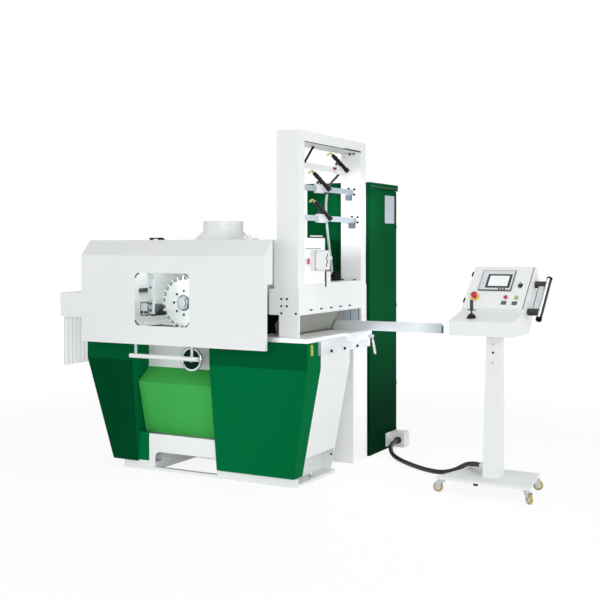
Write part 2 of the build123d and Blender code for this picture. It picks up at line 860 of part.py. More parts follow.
# Arbor
blade_ys = [blade_first_y + i * blade_pitch for i in range(blade_count)]
stack_rear = blade_ys[-1] + blade_thickness


def belt_ys():
    return [pulley_mid + (i - (belt_count - 1) / 2) * belt_pitch for i in range(belt_count)]


def pulley(x, z, bore):
    """Grooved pulley; each groove is the belt's section plus its play."""
    points = [(bore, pulley_y[0]), (pulley_radius, pulley_y[0])]
    for y in belt_ys():
        top = belt_top_width / 2 + belt_play
        bottom = belt_bottom_width / 2 + belt_play
        floor = pulley_radius - belt_height - belt_play
        points += [(pulley_radius, y - top), (floor, y - bottom)]
        points += [(floor, y + bottom), (pulley_radius, y + top)]
    points += [(pulley_radius, pulley_y[1]), (bore, pulley_y[1])]
    return turned_y(points, x, z)


def arbor_shaft():
    shaft = rod_y(arbor_x, (arbor_front, pulley_y[1]), arbor_z, arbor_radius)
    shaft += rod_y(arbor_x, (stack_rear, quill_y[0] - slide_clearance), arbor_z, collar_radius)
    shaft += pulley(arbor_x, arbor_z, arbor_radius / 2)
    bore = arbor_radius + shaft_clearance
    solids = [shaft]
    for y in blade_ys[:-1]:
        span = (y + blade_thickness, y + blade_pitch)
        spacer = rod_y(arbor_x, span, arbor_z, spacer_radius)
        solids.append(spacer - rod_y(arbor_x, grow(span, cut_past), arbor_z, bore))
    hexagon = Rot(0, 0, 15) * RegularPolygon(nut_across / 2, 6, major_radius=False)
    nut_span = (blade_first_y - nut_length, blade_first_y)
    nut = slab_y(Pos(arbor_x, arbor_z) * hexagon, nut_span)
    nut += rod_y(arbor_x, (blade_first_y - nut_length / 3, blade_first_y), arbor_z, spacer_radius)
    solids.append(nut - rod_y(arbor_x, grow(nut_span, cut_past), arbor_z, bore))
    return solids


def blade_outline():
    """Saw blade: raked tooth face, sloping back and a deep gullet, repeated round the rim."""
    points = []
    for i in range(blade_teeth):
        for step, r in ((0, blade_radius), (0.34, blade_radius - tooth_depth / 4),
                        (0.62, blade_radius - tooth_depth), (0.9, blade_radius - tooth_depth)):
            angle = 2 * pi * (i + step) / blade_teeth
            points.append((r * cos(angle), r * sin(angle)))
    return outline(points) - Circle(arbor_radius + shaft_clearance)


def saw_blades():
    face = Pos(arbor_x, arbor_z) * blade_outline()
    return [slab_y(face, (y, y + blade_thickness)) for y in blade_ys]


def arbor_housing():
    quill = rod_y(arbor_x, quill_y, arbor_z, quill_radius)
    web_y = grow(quill_y, -quill_boss)
    quill += block((arbor_x - quill_web / 2, arbor_x + quill_web / 2), web_y, (arbor_z, chamber_inner_top))
    quill += block((arbor_x - quill_pad_width / 2, arbor_x + quill_pad_width / 2), web_y,
                   (chamber_inner_top - quill_pad, chamber_inner_top))
    quill -= rod_y(arbor_x, grow(quill_y, cut_past), arbor_z, arbor_radius + shaft_clearance)
    quill -= rod_y(arbor_x, web_y, arbor_z, arbor_radius + quill_relief)
    return quill


def main_motor():
    body = slab_y(Pos(arbor_x, motor_z) * ribbed_outline(motor_radius, motor_fin_depth, motor_fins),
                  (motor_y[0] + motor_bell, motor_y[1] - motor_bell / 2))
    body += rod_y(arbor_x, motor_y, motor_z, motor_radius - motor_fin_depth)
    body += rod_y(arbor_x, (motor_y[0], motor_y[0] + motor_bell), motor_z, motor_radius)
    body += block((arbor_x - motor_foot_half, arbor_x + motor_foot_half),
                  (motor_y[0] + 2 * motor_bell, motor_y[1] - motor_bell), (shelf_top, motor_z))
    return body - rod_y(arbor_x, (motor_y[1] - motor_bell / 2, motor_y[1] + cut_past), motor_z,
                        motor_shaft_radius + shaft_clearance)


def motor_pulley():
    shaft = rod_y(arbor_x, (motor_y[1] - motor_bell / 2 + slide_clearance, pulley_y[1]), motor_z,
                  motor_shaft_radius)
    return shaft + pulley(arbor_x, motor_z, motor_shaft_radius / 2)


def drive_belts():
    """Wedge belts: a half turn round each pulley and two straight runs."""
    belts = []
    outer, inner = pulley_radius, pulley_radius - belt_height
    for y in belt_ys():
        top, bottom = belt_top_width / 2, belt_bottom_width / 2
        section = [(outer, y - top), (outer, y + top), (inner, y + bottom), (inner, y - bottom)]
        half = revolve(outline(section), Axis.Y, 180)
        belt = Pos(arbor_x, 0, arbor_z) * Rot(0, 180, 0) * half + Pos(arbor_x, 0, motor_z) * half
        for side in (-1, 1):
            run = outline([(arbor_x + side * r, w) for r, w in section])
            belt += slab_z(run, (motor_z, arbor_z))
        belts.append(belt)
    return belts


# Chain feed
def feed_chain():
    """Pads of the endless chain, laid out along its two runs and round both drums."""
    run = idler_x - drive_x
    loop = 2 * run + 2 * pi * chain_inner_radius
    pitch = loop / chain_pads
    pad = block((-(pitch - chain_pad_gap) / 2, (pitch - chain_pad_gap) / 2), chain_y,
                (chain_inner_radius, chain_outer_radius))
    pads = []
    for i in range(chain_pads):
        s = (i + 0.5) * pitch
        if s < run:
            place = Pos(drive_x + s, 0, chain_z)
        elif s < run + pi * chain_inner_radius:
            place = Pos(idler_x, 0, chain_z) * Rot(0, degrees((s - run) / chain_inner_radius), 0)
        elif s < 2 * run + pi * chain_inner_radius:
            place = Pos(idler_x - (s - run - pi * chain_inner_radius), 0, chain_z) * Rot(0, 180, 0)
        else:
            turn = (s - 2 * run) / chain_inner_radius
            place = Pos(drive_x, 0, chain_z) * Rot(0, degrees(turn), 0)
        pads.append(place * pad)
    return pads


def chain_drum(x, shaft_y):
    drum_y = grow(chain_y, -guide_rail_width / 2)
    drum = slab_y(Pos(x, chain_z) * ribbed_outline(chain_inner_radius - slide_clearance, sprocket_tooth_depth,
                                                   sprocket_teeth), drum_y)
    return drum + rod_y(x, shaft_y, chain_z, chain_shaft_radius)


def chain_drive_shaft():
    return chain_drum(drive_x, (gearbox_front + weld_plate, body_rear))


def chain_idler_shaft():
    return chain_drum(idler_x, (body_front, body_rear))


def feed_gearmotor():
    box = block((drive_x - gearbox_half, drive_x + gearbox_half), (gearbox_front, body_front),
                (chain_z - gearbox_half, chain_z + chain_shaft_radius * 2))
    motor_mid = (gearbox_front + body_front) / 2
    low = chain_z - gearbox_half
    box += rod_z(drive_x, motor_mid, (low - gear_motor_length, low), gear_motor_radius)
    shaft_y = (gearbox_front + weld_plate - slide_clearance, body_front + cut_past)
    return box - rod_y(drive_x, shaft_y, chain_z, chain_shaft_radius + shaft_clearance)


# Pressure beam
guide_xs = (outfeed_roller_x - beam_arm_half + guide_inset / 2,
            infeed_roller_x + beam_arm_half - guide_inset / 2)


def pressure_roller(x):
    roller = slab_y(Pos(x, roller_z) * ribbed_outline(roller_radius, roller_rib_depth, roller_ribs), roller_y)
    return roller + rod_y(x, grow(roller_y, beam_cheek), roller_z, roller_journal)


def pressure_beam():
    carriage_x = (guide_xs[0] - guide_inset, guide_xs[1] + guide_inset)
    beam = block(carriage_x, carriage_y, carriage_z)
    cheek_low = roller_z - roller_journal * 2
    for x in (outfeed_roller_x, infeed_roller_x):
        beam += block((x - beam_arm_half, x + beam_arm_half), (roller_y[0] - beam_cheek, carriage_y[0]),
                      beam_arm_z)
        for y in (roller_y[0] - slide_clearance - beam_cheek, roller_y[1] + slide_clearance):
            cheek = block((x - beam_cheek_half, x + beam_cheek_half), (y, y + beam_cheek),
                          (cheek_low, beam_arm_z[1]))
            beam += cheek
        beam -= rod_y(x, grow(roller_y, 2 * beam_cheek), roller_z, roller_journal + shaft_clearance)
    for x in guide_xs:
        beam -= rod_z(x, carriage_mid, grow(carriage_z, cut_past), guide_radius + shaft_clearance)
    return beam + rod_z(wheel_x, carriage_mid, (screw_low, carriage_z[0]), screw_radius)


def lift_guides():
    """Guide pillars on the bed, their bridge, and the gearbox that turns the lift nut."""
    solids = [rod_z(x, carriage_mid, (table_top, guide_top), guide_radius) for x in guide_xs]
    bridge_x = (guide_xs[0] - guide_inset, guide_xs[1] + guide_inset)
    solids.append(block(bridge_x, (carriage_y[0], column_rear - chamber_sheet),
                        (guide_top, guide_top + guide_bridge)))
    box = block((wheel_x - lift_box_half, wheel_x + lift_box_half),
                (carriage_mid - lift_box_half, carriage_mid + lift_box_half),
                (wheel_z - lift_box_half, base_height))
    box -= rod_z(wheel_x, carriage_mid, (wheel_z - lift_box_half - cut_past, base_height + cut_past),
                 screw_radius + slide_clearance)
    box -= rod_y(wheel_x, (carriage_mid - lift_box_half - cut_past, carriage_mid - screw_radius - cut_past),
                 wheel_z, wheel_shaft_radius + shaft_clearance)
    return solids + [box]


def handwheel():
    rim = Pos(wheel_x, wheel_y, wheel_z) * Rot(90, 0, 0) * Torus(wheel_radius, wheel_rim)
    hub_y = (wheel_y - wheel_rim, wheel_y + 3 * wheel_rim)
    wheel = rim + rod_y(wheel_x, hub_y, wheel_z, wheel_hub_radius)
    for i in range(wheel_spokes):
        spoke = Pos(wheel_radius / 2, 0, 0) * Box(wheel_radius, wheel_rim, 2 * wheel_rim)
        wheel += Pos(wheel_x, wheel_y, wheel_z) * Rot(0, 90 + 360 / wheel_spokes * i, 0) * spoke
    shaft_end = carriage_mid - screw_radius - 2 * cut_past
    return wheel + rod_y(wheel_x, (wheel_y, shaft_end), wheel_z, wheel_shaft_radius)


# Fence
def fence_rail():
    return block((body_top_half, body_top_half + rail_thickness), rail_y, rail_z)


carriage_right = body_top_half + rail_thickness + slide_clearance + carriage_wall
fence_carriage_y = (fence_y - carriage_length + 2 * fence_half, fence_y + 2 * fence_half)


def fence():
    nose = [(fence_x[0] + fence_nose, fence_bottom + fence_height), (fence_x[0], fence_bottom),
            (fence_x[1], fence_bottom), (fence_x[1], fence_bottom + fence_height - fence_nose / 2),
            (fence_x[1] - fence_nose / 2, fence_bottom + fence_height)]
    bar = slab_y(outline(nose), (fence_y - fence_half, fence_y + fence_half))
    rail_face = body_top_half + rail_thickness + slide_clearance
    body = block((table_right + slide_clearance, carriage_right), fence_carriage_y,
                 (rail_z[1] + slide_clearance, fence_bottom))
    body += block((rail_face, carriage_right), fence_carriage_y, (carriage_skirt, fence_bottom))
    return bar + body


def fence_lever_place():
    return carriage_right, fence_carriage_y[1] - 2 * lever_hub_radius, (carriage_skirt + rail_z[1]) / 2


def fence_lever():
    x, y, z = fence_lever_place()
    lever = rod_x((x + slide_clearance, x + lever_hub_length), y, z, lever_hub_radius)
    arm = Pos(0, 0, -lever_reach / 2) * Cylinder(lever_rod_radius, lever_reach)
    arm += Pos(0, 0, -lever_reach) * Sphere(lever_knob_radius)
    return lever + Pos(x + lever_hub_length * 0.6, y, z) * Rot(lever_lean, 0, 0) * arm


# Laser portal
def gland(before, end, radius, length):
    """Cable gland that carries on from a cable's end in the direction it arrives."""
    way = (Vector(*end) - Vector(*before)).normalized()
    return Plane(origin=end, z_dir=way) * Pos(0, 0, length / 2) * Cylinder(radius, length)


def tower_frame():
    depth = (tower_left, tower_right)
    frame = block(depth, (tower_front, tower_rear), (header_top, tower_top))
    frame -= block(grow(depth, cut_past), portal_y, portal_z)
    inner_x = grow(depth, -cover_sheet)
    for y in ((tower_front, portal_y[0]), (portal_y[1], tower_rear)):
        frame -= block(inner_x, grow(y, -cover_sheet), (header_top + cover_sheet, tower_top - cover_sheet))
    frame -= block(inner_x, (tower_front + cover_sheet, tower_rear - cover_sheet),
                   (portal_z[1] + cover_sheet, tower_top - cover_sheet))
    gusset = block((tower_right - gusset_depth, tower_right), gusset_y, gusset_z)
    box = block((tower_right, tower_right + switch_box_depth), switch_box_y, switch_box_z)
    lamp = rod_x((tower_right, tower_right + lamp_radius), lamp_y, lamp_z, lamp_radius)
    frame += gland(portal_cable_points[1], portal_cable_points[0], portal_gland_radius, portal_gland)
    frame += gland(portal_cable_points[-2], portal_cable_points[-1], portal_gland_radius, portal_gland)
    return [frame, gusset, box, lamp]


def laser_unit(i, gap):
    """Line laser: clamp on the rail, arm, tilted tube with lens cap and connector."""
    x, y, z = laser_rail_x[i], laser_y[i], laser_rail_z[i]
    wall = laser_carriage_wall
    across = (x - rail_bar / 2 - gap, x + rail_bar / 2 + gap)
    tall = (z - rail_bar_height / 2 - gap, z + rail_bar_height / 2 + gap)
    along = (y + wall - laser_carriage, y + wall)
    clamp = block(grow(across, wall), along, grow(tall, wall)) - block(across, grow(along, cut_past), tall)
    arm_z = (tall[1] + wall, tall[1] + wall + laser_arm)
    clamp += block((x - wall, x + wall), (y - wall, y + wall), arm_z)
    tube = Cylinder(laser_radius, laser_length)
    tube += Pos(0, 0, -laser_length / 2 + laser_head / 2) * Cylinder(laser_lens_radius, laser_head)
    tube += Pos(0, 0, laser_length / 2 + laser_head / 2) * Cylinder(laser_radius / 2, laser_head)
    return clamp + Pos(x, y, arm_z[1]) * Rot(0, -laser_tilt, 0) * tube


def laser_rails():
    """The three cross bars, with the top laser clamped to the first one."""
    bars = [block((x - rail_bar / 2, x + rail_bar / 2), portal_y,
                  (z - rail_bar_height / 2, z + rail_bar_height / 2))
            for x, z in zip(laser_rail_x, laser_rail_z)]
    return bars + [laser_unit(0, 0)]


# Cabinet
door_y = grow(cabinet_y, -door_reveal)
door_z = (cabinet_plinth + door_reveal, cabinet_height - cabinet_cap - door_reveal)
door_hinge_x = cabinet_x[1] - door_depth / 2
door_hinge_y = cabinet_y[1] + door_hinge_radius


def cabinet_body():
    front = cabinet_x[1] - door_depth
    box = block((cabinet_x[0], front), cabinet_y, (0, cabinet_height - cabinet_cap))
    box -= block((cabinet_x[0] + cabinet_sheet, front + cut_past), grow(cabinet_y, -cabinet_rim),
                 (cabinet_plinth + cabinet_rim, cabinet_height - cabinet_cap - cabinet_rim))
    box -= block((cabinet_x[0] + cabinet_sheet, front - cabinet_sheet), grow(cabinet_y, -cabinet_sheet),
                 (cabinet_plinth + cabinet_sheet, cabinet_height - cabinet_cap - cabinet_sheet))
    box += block((front, cabinet_x[1]), cabinet_y, (0, cabinet_plinth))
    box -= block(grow(cabinet_x, -cabinet_sheet), grow(cabinet_y, -cabinet_sheet),
                 (-cut_past, cabinet_plinth - cabinet_sheet))
    box += block(duct_x, (column_rear, cabinet_y[0]), duct_z)
    cap_z = (cabinet_height - cabinet_cap, cabinet_height)
    box += block(grow(cabinet_x, cabinet_lap), grow(cabinet_y, cabinet_lap), cap_z)
    for z in door_hinge_zs():
        for end in (0, 2):
            low = z + end * door_hinge_length / 3
            span = (low, low + door_hinge_length / 3 - slide_clearance)
            box += rod_z(door_hinge_x, door_hinge_y, span, door_hinge_radius)
            box += block((front - 3 * door_hinge_radius, door_hinge_x), (cabinet_y[1], door_hinge_y), span)
        pin_z = (z, z + door_hinge_length - slide_clearance)
        box += rod_z(door_hinge_x, door_hinge_y, pin_z, door_hinge_radius / 2)
    return box


def door_hinge_zs():
    room = door_z[1] - door_z[0]
    return [door_z[0] + room * (i + 0.5) / door_hinge_count for i in range(door_hinge_count)]


def cabinet_door():
    front = cabinet_x[1] - door_depth
    leaf = block((front + slide_clearance, cabinet_x[1]), door_y, door_z)
    leaf -= block((front - cut_past, cabinet_x[1] - cabinet_sheet), grow(door_y, -door_depth),
                  grow(door_z, -door_depth))
    for z in door_hinge_zs():
        span = (z + door_hinge_length / 3, z + 2 * door_hinge_length / 3 - slide_clearance)
        clear = (span[0] - slide_clearance, span[1] + slide_clearance)
        knuckle = rod_z(door_hinge_x, door_hinge_y, span, door_hinge_radius)
        knuckle += block((door_hinge_x, cabinet_x[1]), (door_y[1] - door_hinge_radius, door_hinge_y), span)
        leaf += knuckle
        leaf -= rod_z(door_hinge_x, door_hinge_y, clear, door_hinge_radius / 2 + shaft_clearance)
    return leaf


def junction_box():
    box = block(junction_x, junction_y, junction_z)
    return box + rod_y(gland_x, (junction_y[0] - gland_length, junction_y[0]), gland_z, gland_radius)


# Console
def stand_outline(margin):
    """Base plate outline: the caster spots moved out from their middle by the margin."""
    mid_x = sum(x for x, y in caster_spots) / len(caster_spots)
    mid_y = sum(y for x, y in caster_spots) / len(caster_spots)
    return outline([(x + margin * (1 if x > mid_x else -1), y + margin * (1 if y > mid_y else -1))
                    for x, y in caster_spots])


def pedestal_stand():
    low, top = stand_plate
    side = outline([(column_low_y[0], top), (column_low_y[1], top), (column_top_y[1], column_top),
                    (column_top_y[0], column_top)])
    column_x = (stand_x - column_half, stand_x + column_half)
    column = slab_x(side, column_x)
    column -= slab_x(inset(side, column_wall), grow(column_x, -column_wall))
    stand = slab_z(stand_outline(stand_margin), stand_plate) + column
    stand += gland(console_cable_points[-2], console_cable_points[-1], gland_radius, stand_gland)
    for x, y in caster_spots:
        stand += block((x - caster_race, x + caster_race), (y - caster_race, y + caster_race),
                       (low - caster_plate, low))
        stand -= rod_z(x, y, (low - caster_plate - cut_past, top - column_wall), caster_pin + shaft_clearance)
    return stand


def caster_place(i):
    return Pos(*caster_spots[i], 0) * Rot(0, 0, caster_yaw[i])


def caster_fork(i):
    inner = caster_wheel_width / 2 + caster_leg_gap
    top = stand_plate[0] - caster_plate - slide_clearance
    crown_low = 2 * caster_wheel_radius + caster_leg
    fork = rod_z(0, 0, (crown_low, top), caster_race)
    crown_top = crown_low + caster_leg
    fork += block((0, caster_trail), (-inner - caster_leg, inner + caster_leg), (crown_low, crown_top))
    fork += rod_z(0, 0, (top, stand_plate[1] - column_wall - slide_clearance), caster_pin)
    leg = outline([(-caster_race / 2, crown_top), (caster_trail + caster_race / 2, crown_top),
                   (caster_trail + 2 * caster_axle, caster_wheel_radius - caster_axle),
                   (caster_trail - 2 * caster_axle, caster_wheel_radius - caster_axle)])
    for side in ((-inner - caster_leg, -inner), (inner, inner + caster_leg)):
        fork += slab_y(leg, side)
    axle_end = inner + 2 * caster_leg
    fork += rod_y(caster_trail, (-axle_end, axle_end), caster_wheel_radius, caster_axle)
    return caster_place(i) * fork


def caster_wheel(i):
    half = caster_wheel_width / 2
    tread = caster_wheel_radius
    bore = caster_axle + shaft_clearance
    points = [(bore, -half), (tread * 0.55, -half), (tread * 0.62, -half * 0.7), (tread * 0.72, -half * 0.7),
              (tread * 0.8, -half * 0.9), (tread - half * 0.3, -half * 0.8), (tread, -half * 0.4)]
    points += [(r, -y) for r, y in reversed(points)]
    return caster_place(i) * turned_y(points, caster_trail, caster_wheel_radius)


slope_vector = (slope_top[0] - desk_back[0], slope_top[1] - desk_back[1])
slope_length = hypot(*slope_vector)
slope_unit = (slope_vector[0] / slope_length, slope_vector[1] / slope_length)
console_mid = sum(console_x) / 2
lid_plane = Plane(origin=(console_mid, *desk_back), x_dir=(1, 0, 0), z_dir=(0, -slope_unit[1], slope_unit[0]))
console_half = (console_x[1] - console_x[0]) / 2
lid_half = console_half - lid_side_gap
lid_s = (lid_end_gap, slope_length - lid_end_gap)
lid_hinge_x = -console_half
lid_hinge_n = lid_thickness / 2
desk_plane = Plane(origin=(joystick_spot[0], joystick_spot[1], desk_front[1]
                           + (joystick_spot[1] - desk_front[0]) * (desk_back[1] - desk_front[1])
                           / (desk_back[0] - desk_front[0])), x_dir=(1, 0, 0), z_dir=(0, 0, 1))


def console_body():
    side = outline([desk_low_front, desk_low_rear, rear_brow, slope_top, desk_back, desk_front])
    body = slab_x(side, console_x)
    body -= slab_x(inset(side, console_sheet), grow(console_x, -console_sheet))
    opening = block((-lid_half + lid_rim, lid_half - lid_rim), (lid_s[0] + lid_rim, lid_s[1] - lid_rim),
                    (-2 * console_sheet, cut_past))
    body -= lid_plane * opening
    solids = [body]
    for s in lid_hinge_s:
        pin_s = (s - lid_hinge_length / 2, s + lid_hinge_length / 2)
        pin = rod_y(lid_hinge_x, pin_s, lid_hinge_n, lid_hinge_radius / 2)
        for end in (-1, 1):
            low = s + (end - 0.5) * lid_hinge_length / 3
            span = (low + slide_clearance, low + lid_hinge_length / 3 - slide_clearance)
            pin += rod_y(lid_hinge_x, span, lid_hinge_n, lid_hinge_radius)
            pin += block((lid_hinge_x, lid_hinge_x + lid_hinge_radius), span, (0, lid_hinge_n))
        solids[0] += lid_plane * pin
    boot = Pos(0, 0, joystick_boot_height / 2) * Cone(joystick_boot_radius, joystick_boot_radius * 0.7,
                                                      joystick_boot_height)
    boot -= Pos(0, 0, joystick_boot_height) * Sphere(joystick_ball + slide_clearance)
    desk = slab_x(side, console_x)
    solids.append(desk_plane * boot - desk)
    return solids


def lid_stud(spot, radius, span):
    return Pos(*spot, sum(span) / 2) * Cylinder(radius, span[1] - span[0])


def console_panel():
    face = lid_thickness
    plate = block((-lid_half, lid_half), lid_s, (slide_clearance, face))
    for s in lid_hinge_s:
        span = (s - lid_hinge_length / 6 + slide_clearance, s + lid_hinge_length / 6 - slide_clearance)
        knuckle = rod_y(lid_hinge_x, span, lid_hinge_n, lid_hinge_radius)
        knuckle += block((lid_hinge_x, -lid_half), span, (lid_hinge_n, lid_hinge_n + lid_hinge_radius))
        plate += knuckle
        bore = lid_hinge_radius / 2 + shaft_clearance
        plate -= rod_y(lid_hinge_x, grow(span, slide_clearance), lid_hinge_n, bore)
    below = (slide_clearance - cut_past, face + button_bezel_height + cut_past)
    for spot in (start_spot, stop_spot):
        plate += lid_stud(spot, button_bezel, (face, face + button_bezel_height))
        plate -= lid_stud(spot, button_radius + slide_clearance, below)
    plate += lid_stud(estop_spot, estop_disc, (face, face + estop_disc_height))
    plate -= lid_stud(estop_spot, estop_stem + slide_clearance, below)
    plate -= lid_stud(knob_spot, knob_spindle + shaft_clearance, below)
    screen = block(screen_x, screen_s, (face, face + screen_height))
    return [lid_plane * plate, lid_plane * screen]


def emergency_stop():
    top = lid_thickness + estop_disc_height + estop_neck + estop_travel + slide_clearance
    button = lid_stud(estop_spot, estop_stem, (slide_clearance + estop_travel, top + estop_cap / 2))
    cap = Cylinder(estop_radius, estop_cap)
    cap = fillet(cap.edges().group_by(Axis.Z)[-1], estop_cap * 0.6)
    return lid_plane * (button + Pos(*estop_spot, top + estop_cap / 2) * cap)


def push_button(spot):
    low = slide_clearance + button_travel
    high = lid_thickness + button_bezel_height + 2 * button_travel
    return lid_plane * lid_stud(spot, button_radius, (low, high))


def selector_knob():
    low = lid_thickness + slide_clearance
    knob = lid_stud(knob_spot, knob_spindle, (slide_clearance, low))
    knob += lid_stud(knob_spot, knob_radius, (low, low + knob_height * 0.4))
    grip = block((-knob_radius * 0.3, knob_radius * 0.3), (-knob_radius * 0.95, knob_radius * 0.95),
                 (low, low + knob_height))
    return lid_plane * (knob + Pos(*knob_spot) * grip)


def joystick():
    pivot = joystick_boot_height
    stick = Pos(0, 0, pivot) * Sphere(joystick_ball)
    stick += rod_z(0, 0, (pivot, joystick_height), joystick_rod_radius)
    grip_low = joystick_height * 0.45
    stick += rod_z(0, 0, (grip_low, joystick_height), joystick_grip_radius)
    guard = joystick_grip_radius * 2.4
    stick += block((-guard, guard), (-joystick_rod_radius, joystick_rod_radius),
                   (grip_low - joystick_rod_radius, grip_low))
    stick += block((-joystick_rod_radius, joystick_rod_radius), (-guard, guard),
                   (grip_low - joystick_rod_radius, grip_low))
    return desk_plane * stick


def side_handle():
    bar_x = side_bar_x - console_mid
    handle = rod_y(bar_x, side_bar_s, -side_bar_depth, side_bar_radius)
    for s in side_clamp_s:
        handle += block((console_half, bar_x), (s - side_clamp_half, s + side_clamp_half),
                        (-side_bar_depth - side_clamp_half, -side_bar_depth + side_clamp_half))
    return lid_plane * handle


# Cables
def cable(points, radius, name):
    """Tube along straight runs joined by the largest tangent arcs that the runs allow."""
    at = [Vector(*p) for p in points]
    radii = []
    for a, b, c in zip(at, at[1:], at[2:]):
        turn = radians((b - a).get_angle(c - b))
        radii.append(0.45 * min((b - a).length, (c - b).length) / tan(turn / 2))
    path = FilletPolyline(*at, radius=radii)
    section = Plane(origin=path @ 0, z_dir=path % 0) * Circle(radius)
    tube = sweep(section, path=path)
    print(name, "length", round(path.length), "radii", [round(r) for r in radii],
          "volume share", round(tube.volume / (pi * radius ** 2 * path.length), 4))
    return tube


def pieces():
    """Every node of the machine with its solids."""
    nodes = {
        "base_frame": base_frame(),
        "base_panel_left": base_panel_left(),
        "base_panel_right": base_panel_right(),
        "service_cover": service_cover(),
        "rear_columns": rear_columns(),
        "bed": bed(),
        "infeed_table": infeed_table(),
        "fence_rail": fence_rail(),
        "throat_frame": throat_frame(),
        "kickback_fingers": kickback_fingers(),
        "saw_chamber": saw_chamber(),
        "dust_port": dust_port(),
        "outfeed_guard": outfeed_guard(),
        "curtain_strips": curtain_strips(),
        "hood": hood(),
        "hood_window": hood_window(),
        "hood_handle": hood_handle(),
        "arbor_housing": arbor_housing(),
        "arbor_shaft": arbor_shaft(),
        "saw_blades": saw_blades(),
        "main_motor": main_motor(),
        "motor_pulley": motor_pulley(),
        "drive_belts": drive_belts(),
        "feed_chain": feed_chain(),
        "chain_drive_shaft": chain_drive_shaft(),
        "chain_idler_shaft": chain_idler_shaft(),
        "feed_gearmotor": feed_gearmotor(),
        "pressure_beam": pressure_beam(),
        "infeed_roller": pressure_roller(infeed_roller_x),
        "outfeed_roller": pressure_roller(outfeed_roller_x),
        "lift_guides": lift_guides(),
        "handwheel": handwheel(),
        "fence": fence(),
        "fence_lever": fence_lever(),
        "tower_frame": tower_frame(),
        "laser_rails": laser_rails(),
        "laser_middle": laser_unit(1, slide_clearance),
        "laser_lower": laser_unit(2, slide_clearance),
        "portal_cable": cable(portal_cable_points, portal_cable_radius, "portal_cable"),
        "cabinet_body": cabinet_body(),
        "cabinet_door": cabinet_door(),
        "junction_box": junction_box(),
        "pedestal_stand": pedestal_stand(),
        "console_body": console_body(),
        "console_panel": console_panel(),
        "emergency_stop": emergency_stop(),
        "start_button": push_button(start_spot),
        "stop_button": push_button(stop_spot),
        "selector_knob": selector_knob(),
        "joystick": joystick(),
        "side_handle": side_handle(),
        "console_cable": cable(console_cable_points, console_cable_radius, "console_cable"),
    }
    for i in range(len(caster_spots)):
        nodes[f"caster_fork_{i + 1}"] = caster_fork(i)
        nodes[f"caster_wheel_{i + 1}"] = caster_wheel(i)
    return nodes


os.makedirs("parts", exist_ok=True)
for node, shape in pieces().items():
    solids = shape if isinstance(shape, list) else [shape]
    export_step(Compound(children=[s for part in solids for s in part.solids()]), f"parts/{node}.step")
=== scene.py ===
"""Multi-rip saw with its laser portal, electrical cabinet and console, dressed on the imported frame."""
import math
from collections import namedtuple

import bpy
from mathutils import Matrix, Vector


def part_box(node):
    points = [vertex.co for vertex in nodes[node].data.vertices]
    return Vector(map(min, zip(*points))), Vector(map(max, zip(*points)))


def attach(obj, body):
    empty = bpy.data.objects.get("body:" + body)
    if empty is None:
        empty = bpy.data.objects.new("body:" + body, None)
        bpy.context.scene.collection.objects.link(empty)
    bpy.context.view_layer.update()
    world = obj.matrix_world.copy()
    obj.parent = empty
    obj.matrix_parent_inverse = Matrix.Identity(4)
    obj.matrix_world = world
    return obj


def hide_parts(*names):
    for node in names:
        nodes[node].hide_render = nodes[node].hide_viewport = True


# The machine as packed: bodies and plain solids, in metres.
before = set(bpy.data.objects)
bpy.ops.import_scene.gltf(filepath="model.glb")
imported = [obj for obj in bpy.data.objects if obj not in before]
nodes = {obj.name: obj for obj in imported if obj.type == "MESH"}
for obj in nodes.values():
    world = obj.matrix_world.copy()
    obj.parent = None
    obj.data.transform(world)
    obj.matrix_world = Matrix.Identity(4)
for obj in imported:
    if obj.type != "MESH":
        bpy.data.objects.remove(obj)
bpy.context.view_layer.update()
scene = bpy.context.scene
scene.view_settings.view_transform = "Standard"


# Studio: a seamless pale floor and a white surround, lit by broad soft boxes.
# The floor is a matt painted sheet that sweeps up to white; near the machine it takes the contact shadow.
def linear(code):
    """sRGB hex colour as linear RGBA."""
    values = [int(code[i:i + 2], 16) / 255 for i in (0, 2, 4)]
    return [v / 12.92 if v <= 0.04045 else ((v + 0.055) / 1.055) ** 2.4 for v in values] + [1.0]


def add_node(tree, kind, inputs=None, **settings):
    """Adds a shader node; an input given as a socket is linked, any other value is set on the socket."""
    node = tree.nodes.new(f"ShaderNode{kind}")
    for name, value in settings.items():
        setattr(node, name, value)
    for name, value in (inputs or {}).items():
        if isinstance(value, bpy.types.NodeSocket):
            tree.links.new(value, node.inputs[name])
        else:
            node.inputs[name].default_value = value
    return node


def blank_material(name):
    """An empty node material with its output, returned as material, tree and surface socket."""
    material = bpy.data.materials.new(name)
    material.use_nodes = True
    tree = material.node_tree
    tree.nodes.clear()
    output = add_node(tree, "OutputMaterial")
    return material, tree, output.inputs["Surface"]


def seen_rays(tree):
    """One where a surface is seen, straight, in a mirror or through glass, and nought for light alone."""
    rays = add_node(tree, "LightPath")
    seen = add_node(tree, "Math",
                    {0: rays.outputs["Is Camera Ray"], 1: rays.outputs["Is Glossy Ray"]}, operation="MAXIMUM")
    return add_node(tree, "Math", {0: seen.outputs[0], 1: rays.outputs["Is Transmission Ray"]},
                    operation="MAXIMUM").outputs[0]


